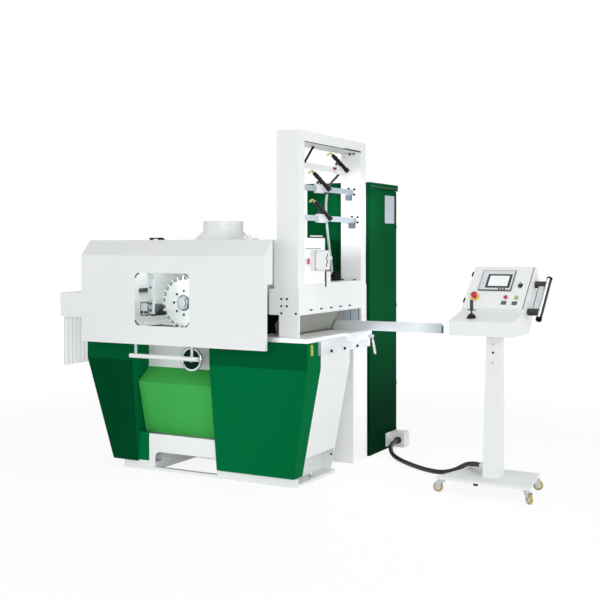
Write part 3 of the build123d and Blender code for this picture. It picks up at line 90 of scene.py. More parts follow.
# Matt floor paint: no edge or horizon shows, only a soft grey pool under the machine.
STUDIO_WHITE = linear("ffffff")
SWEEP_START, SWEEP_END, SWEEP_LOW = 2.6, 7.0, 0.87
floor_paint, tree, surface = blank_material("floor_matt_paint")
sheet = add_node(tree, "BsdfDiffuse", {"Color": linear("f2f2f2")})
thin_sheet = add_node(tree, "BsdfDiffuse", {"Color": linear("6c6c6c")})
place = add_node(tree, "TexCoord").outputs["Object"]
away = add_node(tree, "VectorMath", {0: place}, operation="LENGTH")
sweep = add_node(tree, "MapRange",
                 {"Value": away.outputs["Value"], "From Min": SWEEP_START, "From Max": SWEEP_END,
                  "To Min": SWEEP_LOW, "To Max": 1.0})
glow = add_node(tree, "Emission", {"Color": STUDIO_WHITE, "Strength": sweep.outputs[0]})
lifted = add_node(tree, "AddShader", {0: thin_sheet.outputs[0], 1: glow.outputs[0]})
ground = add_node(tree, "MixShader",
                  {0: seen_rays(tree), 1: sheet.outputs[0], 2: lifted.outputs[0]})
tree.links.new(ground.outputs[0], surface)
FLOOR_HALF = 14.0
floor_mesh = bpy.data.meshes.new("studio_floor")
floor_mesh.from_pydata([(x * FLOOR_HALF, y * FLOOR_HALF, 0) for x, y in ((-1, -1), (1, -1), (1, 1), (-1, 1))],
                       [], [(0, 1, 2, 3)])
floor_mesh.materials.append(floor_paint)
floor = bpy.data.objects.new("studio_floor", floor_mesh)
scene.collection.objects.link(floor)

SURROUND_LIGHT = 0.54
world = bpy.data.worlds.new("white_surround")
scene.world = world
world.use_nodes = True
tree = world.node_tree
tree.nodes.clear()
dim = add_node(tree, "Background", {"Color": STUDIO_WHITE, "Strength": SURROUND_LIGHT})
white = add_node(tree, "Background", {"Color": STUDIO_WHITE, "Strength": 1.0})
both = add_node(tree, "MixShader", {0: seen_rays(tree), 1: dim.outputs[0], 2: white.outputs[0]})
add_node(tree, "OutputWorld", {"Surface": both.outputs[0]})


def soft_box(name, spot, aim, size, watts, spread_deg=180):
    """A square lamp with a soft edge, aimed at a point; a grid on it narrows the spread."""
    lamp = bpy.data.lights.new(name, "AREA")
    lamp.shape = "SQUARE"
    lamp.size = size
    lamp.energy = watts
    lamp.spread = math.radians(spread_deg)
    box = bpy.data.objects.new(name, lamp)
    box.location = spot
    box.rotation_euler = (Vector(aim) - Vector(spot)).to_track_quat("-Z", "Y").to_euler()
    scene.collection.objects.link(box)


soft_box("key_box", (3.9, -6.4, 1.6), (0.3, -0.1, 0.9), size=3.0, watts=121)
soft_box("fill_box", (-4.2, -5.6, 2.4), (-0.2, -0.2, 0.9), size=3.6, watts=70)
soft_box("right_box", (6.4, -4.6, 2.0), (0.5, -0.1, 0.9), size=3.6, watts=65)
soft_box("side_box", (11.0, 1.2, 1.6), (0.6, 0.2, 0.9), size=4.0, watts=222)
soft_box("top_box", (2.2, -0.6, 4.8), (1.4, -0.1, 1.0), size=1.6, watts=4, spread_deg=60)
soft_box("low_box", (0.4, -4.6, 0.7), (-0.10, -0.4, 0.25), size=0.8, watts=0.5, spread_deg=20)
soft_box("portal_box", (3.0, -3.4, 1.74), (0.56, 0.42, 1.70), size=0.2, watts=0.7, spread_deg=8)
soft_box("rear_box", (3.2, 3.8, 1.6), (0.64, 0.2, 0.6), size=0.8, watts=1.2, spread_deg=26)

# Camera at standing eye height, level, turned a little to the machine's right end.
# The picture plane is shifted, as with a shift lens, so that uprights stay upright.
EYE = (3.549, -5.860, 1.450)
TURN_DEG = 28.3
FOCAL_PX = 1015.0
PICTURE_PX = 600.0
HORIZON_PX = 247.0
lens = bpy.data.cameras.new("eye")
lens.sensor_width = 36.0
lens.lens = FOCAL_PX / PICTURE_PX * lens.sensor_width
lens.shift_y = (HORIZON_PX - PICTURE_PX / 2) / PICTURE_PX
lens.clip_end = 60.0
eye = bpy.data.objects.new("eye", lens)
eye.location = EYE
eye.rotation_euler = (math.radians(90), 0, math.radians(TURN_DEG))
scene.collection.objects.link(eye)
scene.camera = eye


# Welded base, rear legs, chamber and covers: mild-steel plate, sprayed with two-pack enamel and stoved.
# The spray leaves a faint orange peel and the white drifts a little in tone from panel to panel.
def sprayed_enamel(name, colour, shade, roughness, gloss=0.4, peel=0.04, floor_shade=None):
    """Two-pack enamel: colour drifting to a shade over half a metre, haze in the gloss and orange peel.

    A floor shade colour, where given, takes over towards the floor: painted shade. The peel is drawn coarse,
    so that it shows."""
    peel_mm, drift_mm, haze_mm = 6.0, 450.0, 60.0
    floor_shade_full, floor_shade_start = 0.30, 1.00
    clearer, hazier = 0.05, 0.07
    material, tree, surface = blank_material(name)
    place = add_node(tree, "TexCoord").outputs["Object"]
    drift = add_node(tree, "TexNoise", {"Vector": place, "Scale": 1000 / drift_mm, "Detail": 2.0})
    # Inputs 6 and 7 of a mix are its two colours, and output 2 is the colour between them.
    tone = add_node(tree, "Mix", {0: drift.outputs["Fac"], 6: linear(colour), 7: linear(shade)},
                    data_type="RGBA")
    # Painted shade: the floor shade colour takes over towards the bottom.
    if floor_shade:
        height = add_node(tree, "SeparateXYZ", {0: place})
        rise = add_node(tree, "MapRange",
                        {"Value": height.outputs["Z"], "From Min": floor_shade_full, "From Max": floor_shade_start})
        tone = add_node(tree, "Mix", {0: rise.outputs[0], 6: linear(floor_shade), 7: tone.outputs[2]},
                        data_type="RGBA")
    haze = add_node(tree, "TexNoise", {"Vector": place, "Scale": 1000 / haze_mm, "Detail": 4.0})
    dull = add_node(tree, "MapRange",
                    {"Value": haze.outputs["Fac"], "To Min": roughness - clearer,
                     "To Max": roughness + hazier})
    skin = add_node(tree, "TexNoise", {"Vector": place, "Scale": 1000 / peel_mm, "Detail": 1.0})
    bump = add_node(tree, "Bump",
                    {"Height": skin.outputs["Fac"], "Strength": peel, "Distance": 0.001})
    coat = add_node(tree, "BsdfPrincipled",
                    {"Base Color": tone.outputs[2], "Roughness": dull.outputs[0], "IOR": 1.5,
                     "Specular IOR Level": gloss, "Normal": bump.outputs[0]})
    tree.links.new(coat.outputs[0], surface)
    return material


def dress(material, *names):
    """Gives CAD nodes their finish."""
    for name in names:
        nodes[name].data.materials.clear()
        nodes[name].data.materials.append(material)


def ease_edges(width, *names):
    """Rounds the sharp edges of CAD nodes, as folded or ground steel has them."""
    for name in names:
        bevel = nodes[name].modifiers.new("eased_edges", "BEVEL")
        bevel.width = width
        bevel.segments = 2
        bevel.limit_method = "ANGLE"
        bevel.angle_limit = math.radians(40)
        bevel.harden_normals = True


# White enamel: a neutral white with a soft sheen; the legs and the portal's inner faces take a brighter copy,
# painted light.
white_enamel = sprayed_enamel("white_enamel_on_steel", "e9ebec", "e3e6e7", roughness=0.38)
painted_light_enamel = sprayed_enamel("white_enamel_with_painted_light", "f8f9f9", "f4f6f6", roughness=0.38)
dress(painted_light_enamel, "rear_columns")
dress(white_enamel, "base_frame", "saw_chamber", "dust_port", "outfeed_guard", "throat_frame",
      "tower_frame", "hood", "hood_handle", "pedestal_stand", "console_body", "console_panel")


# Floor fixings: hexagon anchor bolts with washers in the foot plates, jacking bolts behind them.
# Bright zinc-plated steel, turned and then rolled; each head has a chamfered crown.
def lathe(profile, steps=24):
    """Turned shape about Z from (radius, height) points, as points and faces."""
    points = [Vector((r * math.cos(2 * math.pi * i / steps), r * math.sin(2 * math.pi * i / steps), h))
              for r, h in profile for i in range(steps)]
    faces = [tuple(reversed(range(steps))), tuple(range(len(points) - steps, len(points)))]
    for ring in range(len(profile) - 1):
        for i in range(steps):
            a, b = ring * steps + i, ring * steps + (i + 1) % steps
            faces.append((a, b, b + steps, a + steps))
    return points, faces


def facing(spot, way, spin=0.0):
    """Placement that puts local Z along a direction at a spot."""
    turn = Vector(way).to_track_quat("Z", "Y").to_matrix().to_4x4()
    return Matrix.Translation(Vector(spot)) @ turn @ Matrix.Rotation(math.radians(spin), 4, "Z")


def piece(name, shapes, material, body="machine"):
    """Joins pairs of a shape and its placement into one object that rides on a body."""
    smooth_deg = 35
    points, faces = [], []
    for shape, place in shapes:
        start = len(points)
        points += [place @ p for p in shape[0]]
        faces += [tuple(start + i for i in face) for face in shape[1]]
    mesh = bpy.data.meshes.new(name)
    mesh.from_pydata(points, [], faces)
    mesh.materials.append(material)
    mesh.shade_smooth()
    mesh.set_sharp_from_angle(angle=math.radians(smooth_deg))
    thing = bpy.data.objects.new(name, mesh)
    scene.collection.objects.link(thing)
    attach(thing, body)


def copies(name, shape, spots, way, material, body="machine"):
    """One shape, set at each of the spots and facing one way."""
    piece(name, [(shape, facing(spot, way)) for spot in spots], material, body)


def metal_surface(tree, surface, tone, grain, roughness, bump, metallic=1.0):
    """Ends the nodes of a metal: its tone and roughness, with its grain as a slight relief."""
    relief = add_node(tree, "Bump",
                      {"Height": grain.outputs["Fac"], "Strength": bump, "Distance": 0.0006})
    metal = add_node(tree, "BsdfPrincipled",
                     {"Base Color": tone.outputs[2], "Metallic": metallic, "Roughness": roughness,
                      "Normal": relief.outputs[0]})
    tree.links.new(metal.outputs[0], surface)


def worked_metal(name, colour, roughness, grain_mm, stretch=(1, 1, 1), bump=0.08):
    """Bare metal: grain drawn out along the way it was ground, rolled or turned, with a little tarnish.

    The grain is drawn coarser than the real marks, so that it shows."""
    tarnish_mm = 90.0
    tarnished = 0.78
    smoother, rougher = 0.10, 0.12
    material, tree, surface = blank_material(name)
    place = add_node(tree, "TexCoord").outputs["Object"]
    lay = add_node(tree, "Mapping", {"Vector": place, "Scale": stretch})
    grain = add_node(tree, "TexNoise",
                     {"Vector": lay.outputs[0], "Scale": 1000 / grain_mm, "Detail": 5.0, "Roughness": 0.6})
    tarnish = add_node(tree, "TexNoise",
                       {"Vector": place, "Scale": 1000 / tarnish_mm, "Detail": 3.0})
    darker = [c * tarnished for c in linear(colour)[:3]] + [1.0]
    tone = add_node(tree, "Mix", {0: tarnish.outputs["Fac"], 6: linear(colour), 7: darker},
                    data_type="RGBA")
    shine = add_node(tree, "MapRange",
                     {"Value": grain.outputs["Fac"], "To Min": roughness - smoother,
                      "To Max": roughness + rougher})
    metal_surface(tree, surface, tone, grain, shine.outputs[0], bump)
    return material


def hex_bolt(across, height):
    """Hexagon head with a chamfered crown."""
    crown_start, crown_share = 0.8, 0.86
    radius = across / math.sqrt(3)
    return lathe([(radius, 0), (radius, height * crown_start), (radius * crown_share, height)], steps=6)


def washer(radius, thickness):
    """Round washer with an eased top edge."""
    edge_start, top_share = 0.7, 0.95
    return lathe([(radius, 0), (radius, thickness * edge_start), (radius * top_share, thickness)], steps=28)


# Zinc plate is pale with a soft mirror; black oxide is a dull blue-black that takes the shine off screws.
zinc_plate = worked_metal("zinc_plated_steel", "c9ccce", roughness=0.3, grain_mm=4.0)
black_oxide = worked_metal("black_oxide_steel", "1e2022", roughness=0.5, grain_mm=3.0)
UP = (0, 0, 1)
FRONT = (0, -1, 0)
FOOT_TOP = 0.020
WASHER = Vector((0, 0, 0.004))
WASHER_SHARE, HEAD_SHARE, STUD_SHARE, POINT_SHARE, POINT_RISE = 0.75, 0.45, 0.26, 0.20, 1.1
HEAD_SPIN = 15
ANCHOR_BOLT, JACKING_BOLT = (0.600, -0.460, 0.030), (0.615, -0.270, 0.024)
foot_bolts = []
for x, y, across in (ANCHOR_BOLT, JACKING_BOLT):
    stud = [(across * STUD_SHARE, 0), (across * STUD_SHARE, across),
            (across * POINT_SHARE, across * POINT_RISE)]
    for side in (-1, 1):
        seat = Vector((side * x, y, FOOT_TOP))
        foot_bolts += [(washer(across * WASHER_SHARE, WASHER.z), facing(seat, UP)),
                       (hex_bolt(across, across * HEAD_SHARE), facing(seat + WASHER, UP, HEAD_SPIN)),
                       (lathe(stud, steps=16), facing(seat + WASHER, UP))]
piece("foot_bolts", foot_bolts, zinc_plate)
base_low, base_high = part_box("base_frame")
RECESS_SHEET = 0.008
RECESS_BOLT_X, RECESS_BOLT_Z = 0.628, 0.117
recess_bolt_spots = [(side * RECESS_BOLT_X, base_high.y - RECESS_SHEET, RECESS_BOLT_Z) for side in (-1, 1)]
copies("recess_bolts", hex_bolt(across=0.012, height=0.006), recess_bolt_spots, FRONT, black_oxide)


# Green front panels and service cover: folded sheet, sprayed in deep satin greens and a lighter one.
# The left panel turns in to a return, whose foot flange lies on the base beside the apron's white lip.
def paint(node, material, test):
    """Gives a further finish to the faces of a CAD node whose middle passes the test."""
    mesh = nodes[node].data
    mesh.materials.append(material)
    for face in mesh.polygons:
        if test(face.center):
            face.material_index = len(mesh.materials) - 1


Plate = namedtuple("Plate", "width height thickness corner edge")


def rounded_plate(plate):
    """Flat plate with round corners and an eased front edge, lying in XY and standing up along Z."""
    steps = 5
    rings = []
    for inset, level in ((0, 0), (0, plate.thickness - plate.edge), (plate.edge, plate.thickness)):
        ring = []
        for quarter, (sx, sy) in enumerate(((1, 1), (-1, 1), (-1, -1), (1, -1))):
            cx, cy = sx * (plate.width / 2 - plate.corner), sy * (plate.height / 2 - plate.corner)
            for i in range(steps + 1):
                angle = math.pi / 2 * (quarter + i / steps)
                reach = plate.corner - inset
                ring.append(Vector((cx + reach * math.cos(angle), cy + reach * math.sin(angle), level)))
        rings.append(ring)
    count = len(rings[0])
    points = [p for ring in rings for p in ring]
    faces = [tuple(reversed(range(count))), tuple(range(2 * count, 3 * count))]
    for level in range(2):
        for i in range(count):
            a, b = level * count + i, level * count + (i + 1) % count
            faces.append((a, b, b + count, a + count))
    return points, faces


# Satin green gives little back at a slant, so it stays deep; each panel's upper band has its own tone, a
# painted reflection.
PROUD = 0.0005
SATIN = {"roughness": 0.45, "gloss": 0.006, "peel": 0.015}
dark_green = sprayed_enamel("dark_green_satin_enamel", "027040", "016334", **SATIN)
# The left panel is a darker copy of the same green, painted shade.
painted_shade_green = sprayed_enamel("painted_shade_green_satin_enamel", "014a28", "014023", **SATIN)
painted_reflection_band_green = sprayed_enamel("green_satin_enamel_painted_reflection_band", "025c32", "015029", **SATIN)
light_green = sprayed_enamel("light_green_enamel", "44ab52", "3ca04a", roughness=0.45, gloss=0.03, peel=0.015)
dress(dark_green, "base_panel_right")
dress(painted_shade_green, "base_panel_left")
dress(light_green, "service_cover")
PANEL_FOLD = 0.004
ease_edges(PANEL_FOLD, "base_panel_left", "base_panel_right", "service_cover")
panel_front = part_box("base_panel_left")[0].y
# Painted reflection: each panel's upper band is darker on the right panel and lighter on the left.
for name in ("base_panel_left", "base_panel_right"):
    paint(name, painted_reflection_band_green, lambda c: c.y < panel_front + PROUD)
RETURN_FOOT, RETURN_LEAN, PANEL_SHEET = -0.5367, 0.0133, 0.004
# Its return keeps the unshaded green of the right panel.
paint("base_panel_left", dark_green, lambda c: c.x > RETURN_FOOT + RETURN_LEAN * c.z - PANEL_SHEET / 2)
FLANGE = Plate(0.088, 0.186, 0.003, corner=0.004, edge=0.001)
FLANGE_LOW = 0.060
copies("panel_foot_flange", rounded_plate(FLANGE),
       [(RETURN_FOOT + FLANGE.width / 2, base_low.y, FLANGE_LOW + FLANGE.height / 2)], FRONT, dark_green)
LIP = Plate(0.522, 0.100, 0.002, corner=0.003, edge=0.001)
LIP_LOW = 0.138
copies("apron_lip", rounded_plate(LIP),
       [(RETURN_FOOT + FLANGE.width + LIP.width / 2, base_low.y, LIP_LOW + LIP.height / 2)], FRONT,
       white_enamel)


# Oil sight gauge on the right panel's end: a yellow-green glass in a thin moulded frame.
# Moulded acrylic, so it has a clear gloss and the even colour of its dye.
def moulded_plastic(name, colour, roughness, grain_mm=1.5, grain=0.06, specular=0.5):
    """Injection-moulded plastic: even colour with a spark-eroded grain, drawn coarser than it is, to show."""
    cloud_mm = 40.0
    clouded = 0.86
    clearer, duller = 0.04, 0.06
    material, tree, surface = blank_material(name)
    place = add_node(tree, "TexCoord").outputs["Object"]
    cloud = add_node(tree, "TexNoise", {"Vector": place, "Scale": 1000 / cloud_mm, "Detail": 2.0})
    cloudy = [c * clouded for c in linear(colour)[:3]] + [1.0]
    tone = add_node(tree, "Mix", {0: cloud.outputs["Fac"], 6: linear(colour), 7: cloudy},
                    data_type="RGBA")
    erosion = add_node(tree, "TexNoise", {"Vector": place, "Scale": 1000 / grain_mm, "Detail": 2.0})
    relief = add_node(tree, "Bump",
                      {"Height": erosion.outputs["Fac"], "Strength": grain, "Distance": 0.0004})
    shine = add_node(tree, "MapRange",
                     {"Value": cloud.outputs["Fac"], "To Min": roughness - clearer,
                      "To Max": roughness + duller})
    plastic = add_node(tree, "BsdfPrincipled",
                       {"Base Color": tone.outputs[2], "Roughness": shine.outputs[0], "IOR": 1.49,
                        "Specular IOR Level": specular, "Normal": relief.outputs[0]})
    tree.links.new(plastic.outputs[0], surface)
    return material


SIDE = (1, 0, 0)
gauge_frame = moulded_plastic("olive_gauge_frame", "7c9a2e", roughness=0.35)
gauge_acrylic = moulded_plastic("yellow_green_acrylic", "9fb84a", roughness=0.12, grain=0.0)
GAUGE = Plate(0.030, 0.068, 0.005, corner=0.006, edge=0.001)
GAUGE_GLASS = Plate(0.022, 0.060, 0.003, corner=0.004, edge=0.001)
GAUGE_Y, GAUGE_Z = -0.530, 0.836
gauge_spot = Vector((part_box("base_panel_right")[1].x, GAUGE_Y, GAUGE_Z))
glass_spot = gauge_spot + Vector((GAUGE.thickness, 0, 0))
copies("sight_gauge_frame", rounded_plate(GAUGE), [gauge_spot], SIDE, gauge_frame)
copies("sight_gauge_glass", rounded_plate(GAUGE_GLASS), [glass_spot], SIDE, gauge_acrylic)


# Bed, infeed table, fence and its rail: cast iron and steel, surface-ground and oiled.
# The fence darkens towards its free end, a painted shade; a chromed lever with a white grip clamps it.
def socket_head(radius, height):
    """Cylinder-head screw with a chamfered rim and a blind socket."""
    rim_start, rim_share, socket_share, socket_floor = 0.85, 0.88, 0.55, 0.45
    socket = radius * socket_share
    return lathe([(radius, 0), (radius, height * rim_start), (radius * rim_share, height), (socket, height),
                  (socket, height * socket_floor)])


def screws(name, spots, way, radius, height, material=black_oxide, body="machine"):
    """A set of socket-head screws facing one way."""
    copies(name, socket_head(radius, height), spots, way, material, body)


# Ground iron and steel: pale and satin, with straight streaks the way they were ground; cast skin is rough.
ground_iron = worked_metal("ground_cast_iron", "f6f7f8", roughness=0.5, grain_mm=9.0,
                           stretch=(0.12, 1.6, 1.0), bump=0.05)
dress(ground_iron, "bed", "infeed_table")
milled_steel = worked_metal("milled_rail_steel", "e6e9ec", roughness=0.58, grain_mm=5.0,
                            stretch=(1.5, 0.1, 1.5), bump=0.05)
dress(milled_steel, "fence_rail")
cast_iron = worked_metal("cast_iron_skin", "5a5d60", roughness=0.55, grain_mm=2.5, bump=0.3)
fence_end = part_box("fence")[1].x
END_SHADE_LENGTH = 0.15
# Its grinding is drawn coarser than it is, so that it shows.
grind_mm = 8.0
# The fence's tone fades to a darker grey over its last stretch to the free end: painted shade.
ground_steel, tree, surface = blank_material("ground_fence_steel_with_painted_end_shade")
place = add_node(tree, "TexCoord").outputs["Object"]
along = add_node(tree, "SeparateXYZ", {0: place})
end_shade = add_node(tree, "MapRange",
                   {"Value": along.outputs["X"], "From Min": fence_end - END_SHADE_LENGTH, "From Max": fence_end})
tone = add_node(tree, "Mix", {0: end_shade.outputs[0], 6: linear("e6ebee"), 7: linear("aab6bd")},
                data_type="RGBA")
lay = add_node(tree, "Mapping", {"Vector": place, "Scale": (0.08, 1.5, 1.5)})
grind = add_node(tree, "TexNoise",
                 {"Vector": lay.outputs[0], "Scale": 1000 / grind_mm, "Detail": 5.0, "Roughness": 0.6})
shine = add_node(tree, "MapRange", {"Value": grind.outputs["Fac"], "To Min": 0.32, "To Max": 0.54})
metal_surface(tree, surface, tone, grind, shine.outputs[0], bump=0.06)
dress(ground_steel, "fence")
# Its end face is painted dark cast-iron grey: painted shade on the end.
paint("fence", cast_iron, lambda c: c.x > fence_end - PROUD)
GROUND_EDGE = 0.002
ease_edges(GROUND_EDGE, "infeed_table", "fence", "fence_rail")
rail_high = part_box("fence_rail")[1]
RAIL_SCREW_Y, RAIL_SCREW_DROP = (-0.305, -0.120, 0.066), 0.070
screws("fence_rail_screws", [(rail_high.x, y, rail_high.z - RAIL_SCREW_DROP) for y in RAIL_SCREW_Y], SIDE,
       radius=0.009, height=0.008)
lever_chrome = worked_metal("satin_chromed_lever", "dfe3e6", roughness=0.35, grain_mm=3.0)
dress(lever_chrome, "fence_lever")
lever_low, lever_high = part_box("fence_lever")
LEVER_HUB, LEVER_KNOB, LEVER_BACK = 0.011, 0.008, 0.0088
hub_spot = Vector((lever_high.x - LEVER_BACK, lever_low.y + LEVER_HUB, lever_high.z - LEVER_HUB))
knob_spot = Vector((hub_spot.x, lever_high.y - LEVER_KNOB, lever_low.z + LEVER_KNOB))
arm = knob_spot - hub_spot
GRIP_SHARE, GRIP_ROUND = 0.78, 0.006
grip_length = arm.length * GRIP_SHARE
grip = [(0.0062, 0), (0.0080, GRIP_ROUND), (0.0085, grip_length - GRIP_ROUND), (0.0060, grip_length)]
white_nylon = moulded_plastic("white_nylon", "eceded", roughness=0.4)
grip_start = hub_spot + arm * (1 - GRIP_SHARE)
copies("lever_grip", lathe(grip, steps=20), [grip_start], arm, white_nylon, "fence_lever")

# Chain feed and drives inside the base: cast-iron pads, bright drums and a grey gearmotor.
# Turned steel is bright with fine rings; the motors' enamel is a mid grey and the belts are dull black.
turned_steel = worked_metal("turned_bright_steel", "b8bcbf", roughness=0.26, grain_mm=3.0,
                            stretch=(0.3, 2.0, 0.3))
dress(cast_iron, "feed_chain", "motor_pulley")
dress(turned_steel, "chain_drive_shaft", "chain_idler_shaft", "lift_guides")
motor_paint = sprayed_enamel("motor_grey_enamel", "6b7880", "5d6a72", roughness=0.42)
dress(motor_paint, "main_motor", "feed_gearmotor")
belt_rubber = moulded_plastic("belt_neoprene", "1a1a1b", roughness=0.7, grain_mm=1.0, grain=0.3,
                              specular=0.25)
dress(belt_rubber, "drive_belts")

# Arbor and blades: a quill casting painted light grey carries hardened blades, clamped by a flange and a nut.
# The front blade is sanded to a pale satin, with a painted dark reflection in each gullet; those behind are
# blued.
# The feed rollers are dark fluted steel; their bearing plates and a bracket are bolted to the beam.
quill_grey = sprayed_enamel("quill_light_grey_enamel", "d3d7d8", "c8cdce", roughness=0.4)
dress(quill_grey, "arbor_housing", "pressure_beam")
blade_low, blade_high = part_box("saw_blades")
blade_middle = (blade_low + blade_high) / 2
arbor_spot = Vector((blade_middle.x, blade_low.y, blade_middle.z))
blade_radius = (blade_high.x - blade_low.x) / 2
TOOTH_DEPTH, TOOTH_COUNT, TOOTH_TIP = 0.015, 24, 0.36
# The sanding is drawn coarser than it is, so that it shows.
sanding_mm = 5.0
blade_steel, tree, surface = blank_material("sanded_blade_steel_with_painted_gullet_reflection")
place = add_node(tree, "TexCoord").outputs["Object"]
spoke = add_node(tree, "VectorMath", {0: place, 1: arbor_spot}, operation="SUBTRACT")
flat = add_node(tree, "VectorMath", {0: spoke.outputs[0], 1: (1, 0, 1)}, operation="MULTIPLY")
reach = add_node(tree, "VectorMath", {0: flat.outputs[0]}, operation="LENGTH")
rim = add_node(tree, "MapRange",
               {"Value": reach.outputs["Value"], "From Min": blade_radius - 2 * TOOTH_DEPTH,
                "From Max": blade_radius - TOOTH_DEPTH})
sides = add_node(tree, "SeparateXYZ", {0: spoke.outputs[0]})
angle = add_node(tree, "Math", {0: sides.outputs["Z"], 1: sides.outputs["X"]}, operation="ARCTAN2")
pitches = add_node(tree, "Math", {0: angle.outputs[0], 1: TOOTH_COUNT / (2 * math.pi)},
                   operation="MULTIPLY")
share = add_node(tree, "Math", {0: pitches.outputs[0]}, operation="FRACT")
gullet = add_node(tree, "Math", {0: share.outputs[0], 1: TOOTH_TIP}, operation="GREATER_THAN")
gullet_reflection = add_node(tree, "Math", {0: rim.outputs[0], 1: gullet.outputs[0]}, operation="MULTIPLY")
sanding = add_node(tree, "TexNoise", {"Vector": place, "Scale": 1000 / sanding_mm, "Detail": 4.0})
# Painted reflection: near the rim, the gullet part of each tooth pitch takes a dark teal.
tone = add_node(tree, "Mix", {0: gullet_reflection.outputs[0], 6: linear("fafbfb"), 7: linear("40565a")},
                data_type="RGBA")
metal_surface(tree, surface, tone, sanding, roughness=0.55, bump=0.08)
dress(blade_steel, "saw_blades")
blued_steel = worked_metal("blued_blade_steel", "5f7478", roughness=0.45, grain_mm=5.0)
paint("saw_blades", blued_steel, lambda c: c.y > blade_low.y + PROUD)
roller_steel = worked_metal("fluted_roller_steel", "6f7478", roughness=0.38, grain_mm=3.0,
                            stretch=(1, 0.2, 1))
dress(roller_steel, "infeed_roller", "outfeed_roller")
flange_steel = worked_metal("blued_flange_steel", "6e7a88", roughness=0.3, grain_mm=2.0)
dress(flange_steel, "arbor_shaft")
NUT_FACE = 0.010
paint("arbor_shaft", zinc_plate, lambda c: c.y < blade_low.y - NUT_FACE)
PIN_COUNT, PIN_CIRCLE = 8, 0.078
pin_turns = [2 * math.pi * i / PIN_COUNT for i in range(PIN_COUNT)]
pin_spots = [arbor_spot + Vector((math.cos(t), 0, math.sin(t))) * PIN_CIRCLE for t in pin_turns]
screws("arbor_pins", pin_spots, FRONT, radius=0.008, height=0.003, body="arbor")
beam_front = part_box("pressure_beam")[0].y
BRACKET = Plate(0.066, 0.092, 0.004, corner=0.008, edge=0.001)
BRACKET_RIM = 0.007
BRACKET_REACH, BRACKET_RISE = 0.048, 0.008
BRACKET_SCREW_HALF, BRACKET_SCREW_DROP = 0.016, 0.022
bracket_face = BRACKET._replace(width=BRACKET.width - 2 * BRACKET_RIM,
                                height=BRACKET.height - 2 * BRACKET_RIM)
outfeed_axle = sum(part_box("outfeed_roller"), Vector()) / 2
bracket_spot = Vector((outfeed_axle.x - BRACKET_REACH, beam_front, outfeed_axle.z + BRACKET_RISE))
bracket_step = Vector((0, -BRACKET.thickness, 0))
copies("bearing_bracket_edge", rounded_plate(BRACKET), [bracket_spot], FRONT, black_oxide,
       "pressure_beam")
copies("bearing_bracket", rounded_plate(bracket_face), [bracket_spot + bracket_step], FRONT, quill_grey,
       "pressure_beam")
bracket_front = bracket_spot + 2 * bracket_step
bracket_screws = [bracket_front + Vector((side * BRACKET_SCREW_HALF, 0, -BRACKET_SCREW_DROP))
                  for side in (-1, 1)]
screws("bearing_bracket_screws", bracket_screws, FRONT, radius=0.010, height=0.006, body="pressure_beam")
BEARING = Plate(0.040, 0.046, 0.007, corner=0.005, edge=0.001)
BEARING_RISE, BEARING_SCREW_HALF, BEAM_SCREW_RISE = 0.045, 0.011, 0.150
bearing_spots = []
bearing_screws = []
for roller in ("outfeed_roller", "infeed_roller"):
    axle = sum(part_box(roller), Vector()) / 2
    seat = Vector((axle.x, beam_front, axle.z + BEARING_RISE))
    bearing_spots.append(seat)
    bearing_screws += [seat + Vector((side * BEARING_SCREW_HALF, -BEARING.thickness, 0)) for side in (-1, 1)]
    bearing_screws.append((axle.x, beam_front, axle.z + BEAM_SCREW_RISE))
copies("bearing_plates", rounded_plate(BEARING), bearing_spots, FRONT, zinc_plate,
       "pressure_beam")
screws("bearing_screws", bearing_screws, FRONT, radius=0.007, height=0.005, body="pressure_beam")

# Handwheel: cast and chromed, with a green-black web between its spokes and a turned hub cap.
# Chrome is nearly a mirror, with only a light haze in it; the web's enamel is almost black.
chrome = worked_metal("polished_chrome", "c9ced4", roughness=0.10, grain_mm=6.0, bump=0.0)
dress(chrome, "handwheel")
wheel_low, wheel_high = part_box("handwheel")
hub = Vector(((wheel_low.x + wheel_high.x) / 2, wheel_low.y, (wheel_low.z + wheel_high.z) / 2))
HUB_CAP = [(0.017, 0), (0.017, 0.003), (0.014, 0.006), (0.006, 0.008)]
copies("handwheel_cap", lathe(HUB_CAP, steps=28), [hub], FRONT, black_oxide, "handwheel")
web_enamel = sprayed_enamel("green_black_enamel", "0c2f1f", "082417", roughness=0.4, gloss=0.02)
WEB = [(0.063, 0), (0.063, 0.002), (0.060, 0.0035)]
WEB_BACK = Vector((0, 0.006, 0))
copies("handwheel_web", lathe(WEB, steps=40), [hub + WEB_BACK], FRONT, web_enamel,
       "handwheel")

# Kickback fingers: laser-cut plate in greenish-grey mill scale, hung side by side on a rod in the throat.
# Painted shade darkens each finger's edges, so the row reads as lines; black clips hold the rod in the
# header.
# Pale wear plates with dark joints line the throat's rear cheek.
finger_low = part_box("kickback_fingers")[0]
FINGER_PITCH = 0.021
FINGER_MIDDLE, EDGE_SHADE_FROM, EDGE_SHADE_TO = 0.4524, 0.22, 0.42
scale_mm = 7.0
finger_steel, tree, surface = blank_material("mill_scale_plate_with_painted_edge_shade")
place = add_node(tree, "TexCoord").outputs["Object"]
across = add_node(tree, "SeparateXYZ", {0: place})
along = add_node(tree, "Math", {0: across.outputs["Y"], 1: finger_low.y}, operation="SUBTRACT")
count = add_node(tree, "Math", {0: along.outputs[0], 1: FINGER_PITCH}, operation="DIVIDE")
share = add_node(tree, "Math", {0: count.outputs[0]}, operation="FRACT")
off = add_node(tree, "Math", {0: share.outputs[0], 1: FINGER_MIDDLE}, operation="SUBTRACT")
reach = add_node(tree, "Math", {0: off.outputs[0]}, operation="ABSOLUTE")
edge = add_node(tree, "MapRange",
                {"Value": reach.outputs[0], "From Min": EDGE_SHADE_FROM, "From Max": EDGE_SHADE_TO})
